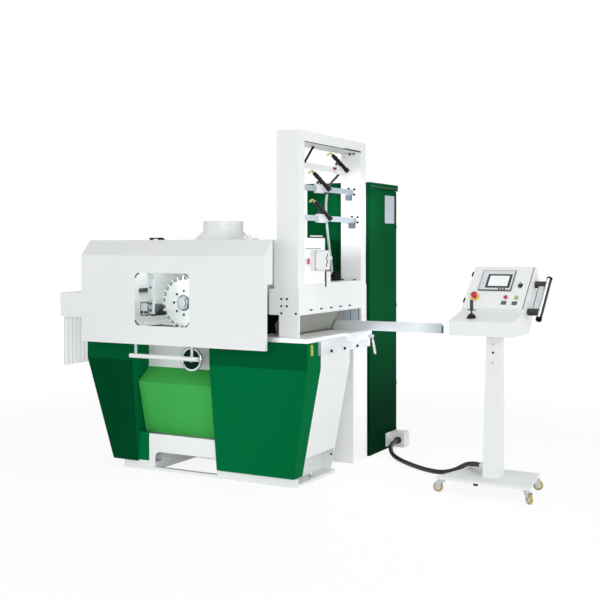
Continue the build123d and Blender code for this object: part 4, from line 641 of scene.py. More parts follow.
lay = add_node(tree, "Mapping", {"Vector": place, "Scale": (1, 4, 0.15)})
streak = add_node(tree, "TexNoise",
                  {"Vector": lay.outputs[0], "Scale": 1000 / scale_mm, "Detail": 5.0, "Roughness": 0.6})
plain = add_node(tree, "Mix", {0: streak.outputs["Fac"], 6: linear("c4c6bd"), 7: linear("9b9e95")},
                 data_type="RGBA")
edge_shade = add_node(tree, "Mix", {0: edge.outputs[0], 6: plain.outputs[2], 7: linear("55574f")},
                 data_type="RGBA")
metal_surface(tree, surface, edge_shade, streak, roughness=0.5, bump=0.15, metallic=0.6)
dress(finger_steel, "kickback_fingers")
header_low, header_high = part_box("throat_frame")
HEADER_BOTTOM = 1.036
HEADER_SCREWS = ((0.524, 0.098), (0.563, 0.098), (0.524, 0.055), (0.563, 0.055), (0.524, 0.011),
                 (0.625, 0.011))
screws("header_front_screws", [(x, header_low.y, HEADER_BOTTOM + z) for x, z in HEADER_SCREWS], FRONT,
       radius=0.0065, height=0.005)
CLIP = Plate(0.030, 0.009, 0.004, corner=0.003, edge=0.001)
CLIP_FIRST, CLIP_PITCH, CLIP_COUNT, CLIP_RISE = -0.324, 0.138, 5, 0.027
clip_spots = [(header_high.x, CLIP_FIRST + CLIP_PITCH * i, HEADER_BOTTOM + CLIP_RISE)
              for i in range(CLIP_COUNT)]
copies("rod_clips", rounded_plate(CLIP), clip_spots, SIDE, black_oxide)
THROAT_BACK = 0.414
WEAR_PITCH, WEAR_GAP, WEAR_X = 0.062, 0.004, 0.563
WEAR = Plate(WEAR_PITCH - WEAR_GAP, 0.140, 0.003, corner=0.002, edge=0.0005)
WEAR_JOINT = Plate(0.006, WEAR.height, 0.002, corner=0.002, edge=0.0005)
wear_spot = Vector((WEAR_X, THROAT_BACK, HEADER_BOTTOM - WEAR.height / 2))
wear_step = Vector((WEAR_PITCH, 0, 0))
wear_enamel = sprayed_enamel("pale_blue_grey_enamel", "d3e0e8", "c6d5de", roughness=0.35)
copies("throat_wear_plates", rounded_plate(WEAR), [wear_spot - wear_step / 2, wear_spot + wear_step / 2],
       FRONT, wear_enamel)
copies("throat_wear_joint", rounded_plate(WEAR_JOINT), [wear_spot, wear_spot + wear_step], FRONT, black_oxide)

# Infeed mouth: a row of black rubber flaps hung inside the end wall, where the boards go in. Black nitrile
# sheet, cut in strips; the flaps are painted shade, a dark sheet standing for the shade inside the mouth
# beside the fingers.
flap_rubber = moulded_plastic("black_nitrile_sheet", "101112", roughness=0.8, grain_mm=2.0, grain=0.2,
                              specular=0.1)
MOUTH_Y = (-0.468, THROAT_BACK)
FLAP_COUNT, FLAP_SLIT, FLAP_GAP = 18, 0.001, 0.004
flap_pitch = (MOUTH_Y[1] - MOUTH_Y[0]) / FLAP_COUNT
FLAP = Plate(flap_pitch - FLAP_SLIT, 0.157, 0.005, corner=0.002, edge=0.001)
CHAMBER_SHEET = 0.006
bed_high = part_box("bed")[1]


def flap_row(x):
    """The flaps' middles, side by side across a mouth."""
    z = bed_high.z + FLAP_GAP + FLAP.height / 2
    return [(x, MOUTH_Y[0] + flap_pitch * (i + 0.5), z) for i in range(FLAP_COUNT)]


copies("mouth_flaps_as_painted_shade", rounded_plate(FLAP), flap_row(bed_high.x - CHAMBER_SHEET - FLAP.thickness), SIDE,
       flap_rubber)


# Hood: folded sheet that lifts on two hinges; the left one is blackened, the right one painted and bolted.
# A clear hard-coated polycarbonate pane sits behind its cut-out, with a black moulded seal in each corner.
def swept_tube(points, radius, steps=14):
    """Round tube along a line of points, closed at both ends."""
    rings = []
    side = None
    for i, point in enumerate(points):
        ahead = (points[min(i + 1, len(points) - 1)] - points[max(i - 1, 0)]).normalized()
        if side is None:
            side = ahead.orthogonal().normalized()
        side = (side - ahead * side.dot(ahead)).normalized()
        over = ahead.cross(side)
        turns = [2 * math.pi * k / steps for k in range(steps)]
        rings.append([point + (side * math.cos(t) + over * math.sin(t)) * radius for t in turns])
    flat = [p for ring in rings for p in ring]
    faces = [tuple(reversed(range(steps))), tuple(range(len(flat) - steps, len(flat)))]
    for ring in range(len(rings) - 1):
        for k in range(steps):
            a, b = ring * steps + k, ring * steps + (k + 1) % steps
            faces.append((a, b, b + steps, a + steps))
    return flat, faces


roof_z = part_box("dust_port")[0].z
HINGE_BLACK_END, HINGE_BACK = -0.300, -0.5
for name in ("hood", "saw_chamber"):
    paint(name, black_oxide, lambda c: c.z > roof_z + PROUD and c.x < HINGE_BLACK_END and c.y < HINGE_BACK)
HINGE_LEAF = 0.008
HINGE_STUD = [(0.0045, 0), (0.0045, 0.022), (0.0035, 0.024)]
HINGE_STUD_X, HINGE_STUD_Y = (0.307, 0.382), -0.540
NUT_RISE = Vector((0, 0, 0.008))
hinge_studs = []
for x in HINGE_STUD_X:
    spot = Vector((x, HINGE_STUD_Y, roof_z + HINGE_LEAF))
    hinge_studs += [(washer(radius=0.009, thickness=0.002), facing(spot, UP)),
                    (lathe(HINGE_STUD, steps=16), facing(spot, UP)),
                    (hex_bolt(across=0.014, height=0.012), facing(spot + NUT_RISE, UP))]
piece("hinge_studs", hinge_studs, zinc_plate)
KNUCKLE_SCREW = [(0.0060, -0.003), (0.0060, 0.010), (0.0048, 0.012)]
KNUCKLE_X, KNUCKLE_Y = 0.345, -0.553
knuckle_spot = (KNUCKLE_X, KNUCKLE_Y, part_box("hood")[1].z)
copies("hinge_screw", lathe(KNUCKLE_SCREW, steps=16), [knuckle_spot], UP, zinc_plate,
       "hood")
# Polycarbonate: nearly invisible face on, with a thin reflection at a slant.
pane_clear, tree, surface = blank_material("hard_coated_polycarbonate")
gloss = add_node(tree, "BsdfGlossy", {"Roughness": 0.03})
clear = add_node(tree, "BsdfTransparent", {"Color": linear("fbfdfc")})
slant = add_node(tree, "Fresnel", {"IOR": 1.2})
pane = add_node(tree, "MixShader", {0: slant.outputs[0], 1: clear.outputs[0], 2: gloss.outputs[0]})
tree.links.new(pane.outputs[0], surface)
dress(pane_clear, "hood_window")
bracket_steel = worked_metal("brushed_bracket_steel", "aab4bd", roughness=0.4, grain_mm=4.0)
BAR_TOP = 0.770
paint("hood_handle", bracket_steel, lambda c: c.z > BAR_TOP)
black_nylon = moulded_plastic("black_glass_filled_nylon", "1b1c1e", roughness=0.45)
pane_low, pane_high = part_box("hood_window")
PANE_LAP, CUT_CORNER, SEAL_RADIUS, SEAL_INSET = 0.015, 0.035, 0.0045, 0.003
corner_inset = PANE_LAP + CUT_CORNER
seal_reach = CUT_CORNER - SEAL_INSET
seal_turns = [math.radians(t) for t in range(5, 90, 10)]
corner_seals = []
for x, side in ((pane_low.x + corner_inset, -1), (pane_high.x - corner_inset, 1)):
    for z, rise in ((pane_low.z + corner_inset, -1), (pane_high.z - corner_inset, 1)):
        arc = [Vector((x + side * seal_reach * math.cos(t), pane_low.y, z + rise * seal_reach * math.sin(t)))
               for t in seal_turns]
        corner_seals.append((swept_tube(arc, SEAL_RADIUS, steps=8), Matrix.Identity(4)))
piece("window_corner_seals", corner_seals, black_nylon, "hood")

# Chamber lamps: small work lights inside the hood, two in front of the blades and one behind.
# A black moulded pull handle is fixed to the end wall over the outfeed mouth.
soft_box("chamber_lamp_front", (-0.24, -0.565, 1.36), (-0.27, -0.38, 1.05), size=0.10, watts=0.8)
soft_box("chamber_lamp_side", (0.02, -0.58, 1.04), (-0.26, -0.38, 1.02), size=0.10, watts=0.6)
LAMP_DROP = 0.03
soft_box("chamber_lamp_rear", (-0.56, -0.10, roof_z - LAMP_DROP), (-0.56, -0.10, bed_high.z), size=0.50,
         watts=3.2)
chamber_low, chamber_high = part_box("saw_chamber")
wall_x = chamber_low.x + CHAMBER_SHEET
PULL = Plate(0.105, 0.026, 0.020, corner=0.010, edge=0.004)
PULL_Y, PULL_Z = 0.010, 1.143
copies("chamber_handle", rounded_plate(PULL), [(wall_x, PULL_Y, PULL_Z)], SIDE, black_nylon)

# Outfeed flaps: pale vinyl strips hung inside the other end wall, where the strips of wood come out.
# They are cut like the flaps at the infeed; the vinyl is nearly white and softly glossy.
pale_vinyl = moulded_plastic("pale_vinyl_sheet", "dfe3e2", roughness=0.5)
copies("outfeed_flaps", rounded_plate(FLAP), flap_row(wall_x), SIDE, pale_vinyl)

# Drive cover: green folded sheet over the drive end of the chamber, behind the portal.
# It is fixed to the end wall and sprayed like the cabinet, in a deep green whose material darkens towards the
# floor as painted shade.
cabinet_green = sprayed_enamel("cabinet_green_enamel", "03542c", "024a26", roughness=0.45, gloss=0.004,
                               peel=0.015, floor_shade="012a17")
DRIVE_Y = (0.335, chamber_high.y)
DRIVE_RISE = 0.02
DRIVE_Z = (HEADER_BOTTOM + DRIVE_RISE, roof_z)
DRIVE = Plate(DRIVE_Y[1] - DRIVE_Y[0], DRIVE_Z[1] - DRIVE_Z[0], 0.004, corner=0.004, edge=0.001)
copies("drive_cover", rounded_plate(DRIVE), [(bed_high.x, sum(DRIVE_Y) / 2, sum(DRIVE_Z) / 2)], SIDE,
       cabinet_green)

# Outfeed curtain: hanging vinyl strips, pressed with a soft rib along their length.
# The vinyl is milky, so light from behind shows through it.
# The wave pattern runs through twenty radians in a metre at a scale of one.
rib_mm = 40.0
WAVE_RADIANS = 20.0
THROUGH_SHARE, CLEAR_SHARE = 0.5, 0.45
curtain_vinyl, tree, surface = blank_material("ribbed_curtain_vinyl")
place = add_node(tree, "TexCoord").outputs["Object"]
ribs = add_node(tree, "TexWave",
                {"Vector": place, "Scale": 2 * math.pi * 1000 / (WAVE_RADIANS * rib_mm)},
                wave_type="BANDS", bands_direction="Y")
tone = add_node(tree, "Mix", {0: ribs.outputs["Fac"], 6: linear("eef2f1"), 7: linear("ffffff")},
                data_type="RGBA")
relief = add_node(tree, "Bump", {"Height": ribs.outputs["Fac"], "Strength": 0.3, "Distance": 0.001})
milk = add_node(tree, "BsdfPrincipled",
                {"Base Color": tone.outputs[2], "Roughness": 0.35, "IOR": 1.5, "Normal": relief.outputs[0]})
through = add_node(tree, "BsdfTranslucent", {"Color": tone.outputs[2]})
milky = add_node(tree, "MixShader", {0: THROUGH_SHARE, 1: milk.outputs[0], 2: through.outputs[0]})
clear = add_node(tree, "BsdfTransparent", {"Color": tone.outputs[2]})
strip = add_node(tree, "MixShader", {0: CLEAR_SHARE, 1: milky.outputs[0], 2: clear.outputs[0]})
tree.links.new(strip.outputs[0], surface)
dress(curtain_vinyl, "curtain_strips")


# Laser portal: white welded frame with a switch box, a red lamp and glands for its cable.
# The box is pale grey polycarbonate with a moulded lid, a screwed joint line and a plug with a rippled grip.
def side_corners(middle, half_y, half_z):
    """Four spots round a middle, on a face that looks along X."""
    return [middle + Vector((0, y, z)) for y in (-half_y, half_y) for z in (-half_z, half_z)]


box_grey = moulded_plastic("pale_grey_polycarbonate", "e4e6e7", roughness=0.36)
seal_grey = moulded_plastic("grey_lid_seal", "9aa0a4", roughness=0.6)
lamp_red = moulded_plastic("red_lamp_lens", "b01038", roughness=0.15, grain=0.0)
tower_low, tower_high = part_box("tower_frame")
POST_SETBACK, SILL, LINTEL, PORTAL_HALF = 0.005, 0.028, 0.070, 0.402
portal_face = header_high.x - POST_SETBACK
sill_top = header_high.z + SILL
lintel_low = tower_high.z - LINTEL
post_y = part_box("laser_rails")[1].y
# Painted light: the portal's inner faces take the brighter white, to lift their shade.
paint("tower_frame", painted_light_enamel, lambda c: abs(c.y) < PORTAL_HALF and sill_top < c.z < lintel_low + PROUD)
paint("tower_frame", box_grey, lambda c: c.x > portal_face + PROUD)
LAMP_LENS = Plate(0.027, 0.041, 0.003, corner=0.012, edge=0.0015)
LAMP_RISE, LAMP_Y, LAMP_Z = 0.015, -0.377, 1.362
copies("lamp_lens", rounded_plate(LAMP_LENS), [(portal_face + LAMP_RISE, LAMP_Y, LAMP_Z)], SIDE, lamp_red)
GLAND_X, GLAND_REACH = 0.514, 0.0145
UPPER_GLAND, LOWER_GLAND = ((0.386, 0.4135), (1.9, 2.0)), ((0.2, 0.27), (1.22, 1.25))
for y_span, z_span in (UPPER_GLAND, LOWER_GLAND):
    paint("tower_frame", black_nylon,
          lambda c: abs(c.x - GLAND_X) < GLAND_REACH and y_span[0] < c.y < y_span[1]
          and z_span[0] < c.z < z_span[1])
# Switch box: a seal line under its lid, corner screws, four latches and the plug at its rear end.
BOX_Y = (-0.325, -0.125)
BOX_Z = (1.304, 1.430)
SEAL_RIM, LID_RIM = 0.001, 0.007
box_width, box_height = BOX_Y[1] - BOX_Y[0], BOX_Z[1] - BOX_Z[0]
BOX_SEAL = Plate(box_width - 2 * SEAL_RIM, box_height - 2 * SEAL_RIM, 0.002, corner=0.006, edge=0.0005)
BOX_LID = Plate(box_width - 2 * LID_RIM, box_height - LID_RIM, 0.006, corner=0.008, edge=0.002)
box_middle = Vector((tower_high.x, sum(BOX_Y) / 2, sum(BOX_Z) / 2))
lid_seat = box_middle + Vector((BOX_SEAL.thickness, 0, 0))
lid_middle = lid_seat + Vector((BOX_LID.thickness, 0, 0))
copies("switch_box_seal", rounded_plate(BOX_SEAL), [box_middle], SIDE, seal_grey)
copies("switch_box_lid", rounded_plate(BOX_LID), [lid_seat], SIDE, box_grey)
screws("switch_box_screws", side_corners(lid_middle, half_y=0.084, half_z=0.0475), SIDE, radius=0.005,
       height=0.002, material=zinc_plate)
LATCH_Y, LATCH_STEP, LATCH_SWING = -0.1715, 0.020, 0.006
LATCH_CAP = Vector((0.0005, 0.005, 0))
latch_spots = [Vector((lid_middle.x, LATCH_Y + LATCH_SWING * (-1) ** row,
                       lid_middle.z + LATCH_STEP * (row - 0.5))) for row in range(-1, 3)]
copies("lid_latch_rings", washer(radius=0.0115, thickness=0.002), latch_spots, SIDE, black_nylon)
copies("lid_latch_caps", washer(radius=0.0100, thickness=0.004), [spot + LATCH_CAP for spot in latch_spots],
       SIDE, box_grey)
RIPPLE = [(0.012, 0), (0.014, 0.004), (0.014, 0.009), (0.012, 0.013)]
RIPPLE_COUNT, PLUG_RISE = 4, 0.012
REAR = (0, 1, 0)
plug_x = (portal_face + tower_high.x) / 2
copies("switch_box_plug", lathe(RIPPLE, steps=20),
       [(plug_x, BOX_Y[1] + RIPPLE[-1][1] * i, box_middle.z + PLUG_RISE) for i in range(RIPPLE_COUNT)], REAR,
       box_grey)
# Sheet cover on the sill, with a black seal along its front edge.
COVER = Plate(0.052, 0.098, 0.010, corner=0.004, edge=0.002)
COVER_SEAL = Plate(0.008, 0.096, 0.006, corner=0.002, edge=0.001)
COVER_Y, COVER_RISE = -0.088, 0.023
cover_spot = Vector((portal_face, COVER_Y, sill_top + COVER_RISE))
cover_seal_spot = cover_spot - Vector((0, (COVER.width + COVER_SEAL.width) / 2, 0))
copies("cable_cover", rounded_plate(COVER), [cover_spot], SIDE, white_enamel)
copies("cable_cover_seal", rounded_plate(COVER_SEAL), [cover_seal_spot], SIDE, black_nylon)
# Gusset: a black ledge with a bright cap along its top, and a grey slot line below.
LEDGE = Plate(0.177, 0.008, 0.006, corner=0.002, edge=0.001)
LEDGE_CAP = LEDGE._replace(width=0.165)
GUSSET_TOP, LEDGE_Y = 1.506, -0.2385
ledge_spot = Vector((portal_face - LEDGE.thickness, LEDGE_Y, GUSSET_TOP + LEDGE.height / 2))
copies("gusset_ledge", rounded_plate(LEDGE), [ledge_spot], SIDE, black_oxide)
copies("gusset_ledge_cap", rounded_plate(LEDGE_CAP), [ledge_spot + Vector((0, 0, LEDGE.height))], SIDE,
       zinc_plate)
SLOT = Plate(0.200, 0.006, 0.002, corner=0.002, edge=0.0005)
SLOT_Y, SLOT_Z = -0.2825, 1.440
copies("gusset_slot", rounded_plate(SLOT), [(portal_face, SLOT_Y, SLOT_Z)], SIDE, seal_grey)
# Lintel: a thin black seal along its lower edge and a thicker pad towards the rear post.
SEAL_START = -0.399
LINTEL_SEAL = Plate(post_y - SEAL_START, 0.005, 0.003, corner=0.002, edge=0.0005)
LINTEL_PAD = Plate(0.240, 0.010, 0.004, corner=0.003, edge=0.0005)
SEAL_RISE, PAD_RISE, PAD_INSET = 0.004, 0.006, 0.130
piece("lintel_seal", [(rounded_plate(LINTEL_SEAL),
                       facing((portal_face, (post_y + SEAL_START) / 2, lintel_low + SEAL_RISE), SIDE)),
                      (rounded_plate(LINTEL_PAD),
                       facing((portal_face, post_y - PAD_INSET, lintel_low + PAD_RISE), SIDE))],
      black_nylon)
# Rubber socket on the sill, where the cable goes in, and a white strip beside the front post.
SOCKET = Plate(0.040, 0.092, 0.062, corner=0.006, edge=0.003)
SOCKET_Y = 0.267
copies("cable_socket", rounded_plate(SOCKET), [(GLAND_X, SOCKET_Y, sill_top)], UP, flap_rubber)
STRIP = Plate(0.019, roof_z - header_high.z, 0.004, corner=0.002, edge=0.001)
strip_spot = (tower_low.x - STRIP.width / 2, tower_low.y + STRIP.thickness, header_high.z + STRIP.height / 2)
copies("closing_strip", rounded_plate(STRIP), [strip_spot], FRONT, white_enamel)

# Cross bars: anodised flat bar, the top one painted, on blued angle brackets with socket screws.
# The brackets sit against the rear post's inner face, under each bar; the anodising is a cool satin grey.
UPPER, MIDDLE, LOWER = Vector((0.540, 1.966)), Vector((0.580, 1.822)), Vector((0.605, 1.632))
UPPER_HALF, UPPER_ABOVE, MIDDLE_ABOVE = 0.006, 0.02, 0.05
rail_grey = worked_metal("anodised_rail_aluminium", "bcc7d0", roughness=0.36, grain_mm=6.0,
                         stretch=(1, 0.1, 1))
dress(rail_grey, "laser_rails")
paint("laser_rails", white_enamel, lambda c: abs(c.x - UPPER.x) < UPPER_HALF
      and MIDDLE.y + MIDDLE_ABOVE < c.z < UPPER.y + UPPER_ABOVE)
RAIL_BRACKET = Plate(0.042, 0.038, 0.024, corner=0.003, edge=0.002)
RAIL_BRACKET_BACK, RAIL_BRACKET_DROP = 0.026, 0.037
RAIL_SCREWS = ((0.013, 0.021), (0.013, -0.015), (-0.030, 0.026))
LINTEL_SCREW_X, LINTEL_SCREW_DROP = (0.559, 0.588), 0.004
rail_bracket_spots = [(bar.x - RAIL_BRACKET_BACK, post_y, bar.y - RAIL_BRACKET_DROP)
                      for bar in (MIDDLE, LOWER)]
rail_screw_spots = [(bar.x + x, post_y, bar.y + z) for bar in (MIDDLE, LOWER) for x, z in RAIL_SCREWS]
lintel_screw_spots = [(x, post_y, lintel_low - LINTEL_SCREW_DROP) for x in LINTEL_SCREW_X]
copies("rail_brackets", rounded_plate(RAIL_BRACKET), rail_bracket_spots, FRONT, flange_steel)
screws("rail_bracket_screws", rail_screw_spots + lintel_screw_spots, FRONT, radius=0.008, height=0.007)
LINTEL_BRACKET = Plate(0.036, 0.030, 0.020, corner=0.003, edge=0.002)
LINTEL_BRACKET_X, LINTEL_BRACKET_DROP = 0.531, 0.016
copies("lintel_bracket", rounded_plate(LINTEL_BRACKET),
       [(LINTEL_BRACKET_X, post_y, lintel_low - LINTEL_BRACKET_DROP)], FRONT, box_grey)
FOOT_BOLT_X, FOOT_BOLT_INSET = (0.507, 0.598), 0.012
copies("post_foot_bolts", hex_bolt(across=0.018, height=0.008),
       [(x, post_y - FOOT_BOLT_INSET, sill_top) for x in FOOT_BOLT_X], UP, black_oxide)
RAIL_CLIP = Plate(0.034, 0.016, 0.010, corner=0.003, edge=0.001)
RAIL_CLIP_OUT, RAIL_CLIP_Y, RAIL_CLIP_RISE = 0.004, 0.201, 0.006
rail_clip_spot = (UPPER.x + RAIL_CLIP_OUT, RAIL_CLIP_Y, UPPER.y + RAIL_CLIP_RISE)
copies("rail_clip", rounded_plate(RAIL_CLIP), [rail_clip_spot], SIDE, lamp_red)

# Line lasers: black anodised tubes, clamped to white carriages on the bars; the top one is fixed.
# Each has two turned collars, a lens ring and a pale brass elbow where its lead goes in.
laser_black = worked_metal("black_anodised_aluminium", "2c2e31", roughness=0.38, grain_mm=2.0)
brass = worked_metal("pale_brass", "f0dc9a", roughness=0.35, grain_mm=2.0)
TILT = Vector((-1, 0, 1)).normalized()
ACROSS = Vector((1, 0, 1)).normalized()
CARRIAGE_TOP, CARRIAGE_HALF, CARRIAGE_REACH = 0.0268, 0.0137, 0.09
TUBE_RISE, TUBE_BELOW, TUBE_HALF = 0.022, 0.06, 0.02
COLLAR = [(0.0135, 0), (0.0158, 0.002), (0.0158, 0.008), (0.0135, 0.010)]
COLLAR_REACHES = (0.018, 0.046)
LENS_RING = [(0.0150, 0), (0.0165, 0.002), (0.0165, 0.006), (0.0110, 0.007), (0.0100, 0.004)]
LENS_REACH = 0.074
CLAMP_SCREW = Vector((0, -0.020, 0))
STAR_KNOB = [(0.004, 0), (0.004, 0.006), (0.009, 0.008), (0.009, 0.018), (0.007, 0.020)]
STAR_KNOB_BACK = 0.058
ELBOW_NUT, ELBOW_START, ELBOW_BEND, ELBOW_RADIUS = 0.082, 0.094, 0.016, 0.0065
elbow_turns = [math.radians(t) for t in range(0, 106, 15)]
for name, bar, body, along in (("upper", UPPER, "machine", 0.300), ("middle", MIDDLE, "laser_middle", -0.050),
                               ("lower", LOWER, "laser_lower", -0.080)):
    middle = Vector((bar.x, along, bar.y + CARRIAGE_TOP + TUBE_RISE))
    if bar == UPPER:
        paint("laser_rails", laser_black, lambda c: c.z > bar.y - TUBE_BELOW and abs(c.y - along) < TUBE_HALF
              and (c.z > bar.y + CARRIAGE_TOP or abs(c.x - bar.x) > CARRIAGE_HALF))
        paint("laser_rails", white_enamel, lambda c: abs(c.x - bar.x) < CARRIAGE_HALF
              and abs(c.z - bar.y) < CARRIAGE_TOP and abs(c.y - along) < CARRIAGE_REACH)
    else:
        dress(laser_black, body)
        paint(body, white_enamel, lambda c: abs(c.x - bar.x) < CARRIAGE_HALF
              and abs(c.z - bar.y) < CARRIAGE_TOP + PROUD)
    collars = [(lathe(COLLAR, steps=28), facing(middle + TILT * reach, TILT)) for reach in COLLAR_REACHES]
    collars.append((lathe(LENS_RING, steps=28), facing(middle - TILT * LENS_REACH, -TILT)))
    collars.append((hex_bolt(across=0.022, height=0.010), facing(middle + CLAMP_SCREW, FRONT)))
    piece(f"laser_{name}_collars", collars, laser_black, body)
    knob_at = Vector((bar.x, along - STAR_KNOB_BACK, bar.y + CARRIAGE_TOP))
    copies(f"laser_{name}_knob", lathe(STAR_KNOB, steps=12), [knob_at], UP, black_nylon,
           body)
    centre = middle + TILT * ELBOW_START - ACROSS * ELBOW_BEND
    arc = [centre + (ACROSS * math.cos(t) + TILT * math.sin(t)) * ELBOW_BEND for t in elbow_turns]
    elbow = [(swept_tube(arc, ELBOW_RADIUS), Matrix.Identity(4)),
             (hex_bolt(across=0.017, height=0.010), facing(middle + TILT * ELBOW_NUT, TILT)),
             (hex_bolt(across=0.014, height=0.007), facing(arc[-1], arc[-1] - arc[-2]))]
    piece(f"laser_{name}_elbow", elbow, brass, body)
# A black strut with a nut at each end ties the top bar to the lintel.
STRUT_RADIUS, STRUT_NUT_BACK = 0.007, Vector((0.005, 0, 0))
strut = [Vector((0.560, -0.129, lintel_low)), Vector((0.560, -0.242, 1.987))]
strut_ends = [(hex_bolt(across=0.020, height=0.010), facing(end - STRUT_NUT_BACK, SIDE)) for end in strut]
piece("rail_strut", [(swept_tube(strut, STRUT_RADIUS), Matrix.Identity(4))] + strut_ends, black_oxide)

# Electrical cabinet: folded green sheet with a plain alloy plate riveted to its door.
# A light-grey junction box with a flange and screwed lid carries the console cable's gland.
# The cabinet's green darkens towards the floor: painted shade.
dress(cabinet_green, "cabinet_body", "cabinet_door")
plate_alloy = worked_metal("satin_alloy_plate", "b9c4cd", roughness=0.36, grain_mm=5.0,
                           stretch=(1, 0.15, 1))
PLATE = Plate(0.168, 0.200, 0.0015, corner=0.006, edge=0.0005)
PLATE_Y, PLATE_Z = 0.911, 1.720
RIVET = [(0.004, 0), (0.0036, 0.001), (0.002, 0.0018)]
plate_middle = Vector((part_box("cabinet_door")[1].x, PLATE_Y, PLATE_Z))
copies("cabinet_plate", rounded_plate(PLATE), [plate_middle], SIDE, plate_alloy,
       "cabinet_door")
rivet_spots = side_corners(plate_middle + Vector((PLATE.thickness, 0, 0)), half_y=0.074, half_z=0.09)
copies("cabinet_plate_rivets", lathe(RIVET, steps=16), rivet_spots, SIDE, zinc_plate,
       "cabinet_door")
GROOVE = Plate(0.484, 0.006, 0.0012, corner=0.0025, edge=0.0004)
GROOVE_Y, GROOVE_DROP = 0.802, 0.026
cabinet_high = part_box("cabinet_body")[1]
groove_spot = (cabinet_high.x, GROOVE_Y, cabinet_high.z - GROOVE_DROP)
copies("cabinet_cap_groove", rounded_plate(GROOVE), [groove_spot], SIDE, black_nylon)
dress(box_grey, "junction_box")
junction_low, junction_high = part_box("junction_box")
GLAND_LENGTH = 0.025
paint("junction_box", black_nylon, lambda c: c.y < junction_low.y + GLAND_LENGTH - PROUD)
JUNCTION_LID = Plate(0.090, 0.096, 0.004, corner=0.006, edge=0.001)
JUNCTION_LID_Y = 0.980
junction_face = Vector((junction_high.x, JUNCTION_LID_Y, (junction_low.z + junction_high.z) / 2))
copies("junction_lid", rounded_plate(JUNCTION_LID), [junction_face], SIDE, box_grey)
junction_lid_front = junction_face + Vector((JUNCTION_LID.thickness, 0, 0))
screws("junction_lid_screws", side_corners(junction_lid_front, half_y=0.038, half_z=0.0405), SIDE,
       radius=0.004, height=0.002, material=zinc_plate)
JUNCTION_FLANGE = Plate(0.088, 0.094, 0.006, corner=0.004, edge=0.001)
JUNCTION_FLANGE_Y, JUNCTION_FLANGE_Z = 0.884, 0.066
copies("junction_flange", rounded_plate(JUNCTION_FLANGE),
       [(junction_low.x, JUNCTION_FLANGE_Y, JUNCTION_FLANGE_Z)], SIDE, box_grey)

# Console stand: tapered column of folded sheet on a plate, with small bolts up its front.
# A black bush lines the hole between the bolts, and a rubber stop sits under the plate's front edge.
column_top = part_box("pedestal_stand")[1].z
COLUMN_X, COLUMN_FRONT = 1.703, -0.006
COLUMN_SPREAD, COLUMN_HEIGHT = 0.076, 0.835


def on_column(z):
    """Point on the middle of the column's leaning front face."""
    lean = COLUMN_SPREAD / COLUMN_HEIGHT
    return Vector((COLUMN_X, COLUMN_FRONT - lean * (column_top - z), z))


COLUMN_BOLT_Z, COLUMN_HOLE_Z = (0.872, 0.765), 0.823
copies("column_bolts", socket_head(radius=0.0075, height=0.006), [on_column(z) for z in COLUMN_BOLT_Z], FRONT,
       quill_grey)
copies("column_hole_bush", washer(radius=0.0065, thickness=0.004), [on_column(COLUMN_HOLE_Z)], FRONT,
       flap_rubber)
PLATE_UNDER = 0.080
PLATE_STOP = [(0.010, 0), (0.015, 0.003), (0.015, 0.024), (0.012, 0.026)]
PLATE_STOP_X, PLATE_STOP_Y = 1.640, -0.150
plate_stop_spot = (PLATE_STOP_X, PLATE_STOP_Y, PLATE_UNDER - PLATE_STOP[-1][1])
copies("plate_stop", lathe(PLATE_STOP, steps=20), [plate_stop_spot], UP, black_nylon)

# Console desk and lid: white sheet; the lid carries a touch screen, push buttons and a selector.
# The screen has a satin bezel, a dark frame and a blank pale display.
LID_ORIGIN = Vector((1.680, 0.035, 1.067))
LID_UP = Vector((0, 0.275, 0.258)).normalized()
LID_OUT = Vector((0, -0.258, 0.275)).normalized()
LID_FACE, LID_SKIN = 0.012, 0.0001
STOP_SPOT, STOP_SHROUD = (-0.126, 0.098), 0.0305
BUTTON_SPOTS, BUTTON_BEZEL = ((0.131, 0.100), (0.065, 0.101)), 0.0155
KNOB_SPOT = (0.135, 0.202)
SCREEN_MID = (-0.019, 0.2425)
SCREEN_WIDTH, SCREEN_HEIGHT, SCREEN_RISE = 0.206, 0.173, 0.019


def on_lid(x, s, out=LID_FACE):
    """Point on the console lid, from its lower edge's middle: across, up the slope and outwards."""
    return LID_ORIGIN + Vector((x, 0, 0)) + LID_UP * s + LID_OUT * out


def lid_place(c):
    """Across, up the slope and outwards for a point of the frame."""
    away = c - LID_ORIGIN
    return away.x, away.dot(LID_UP), away.dot(LID_OUT)


def round_spot(x, s, radius):
    """Test for faces that stand proud of the lid round a spot."""
    def inside(c):
        across, up, out = lid_place(c)
        return out > LID_FACE + LID_SKIN and math.hypot(across - x, up - s) < radius
    return inside


def on_screen(c):
    """Test for the raised block under the screen."""
    across, up, out = lid_place(c)
    return (out > LID_FACE + LID_SKIN and abs(across - SCREEN_MID[0]) < SCREEN_WIDTH / 2 + PROUD
            and abs(up - SCREEN_MID[1]) < SCREEN_HEIGHT / 2 + PROUD)


# Chromed and satin bezels catch a bright edge; the plastics are even in colour and softly glossy.
chrome_bezel = worked_metal("chromed_bezel", "d5d8da", roughness=0.16, grain_mm=3.0, bump=0.0)
stop_yellow = moulded_plastic("yellow_polyamide", "f3df74", roughness=0.35)
screen_satin = worked_metal("satin_silver_bezel", "d2d5d8", roughness=0.42, grain_mm=2.0)
bezel_edge = moulded_plastic("dark_grey_bezel_edge", "4a4f54", roughness=0.5)
frame_dark = moulded_plastic("dark_screen_frame", "15181b", roughness=0.3, grain=0.0)
tag_grey = moulded_plastic("dark_grey_tag", "4d5257", roughness=0.4)
paint("console_panel", stop_yellow, round_spot(*STOP_SPOT, STOP_SHROUD))
for spot in BUTTON_SPOTS:
    paint("console_panel", chrome_bezel, round_spot(*spot, BUTTON_BEZEL))
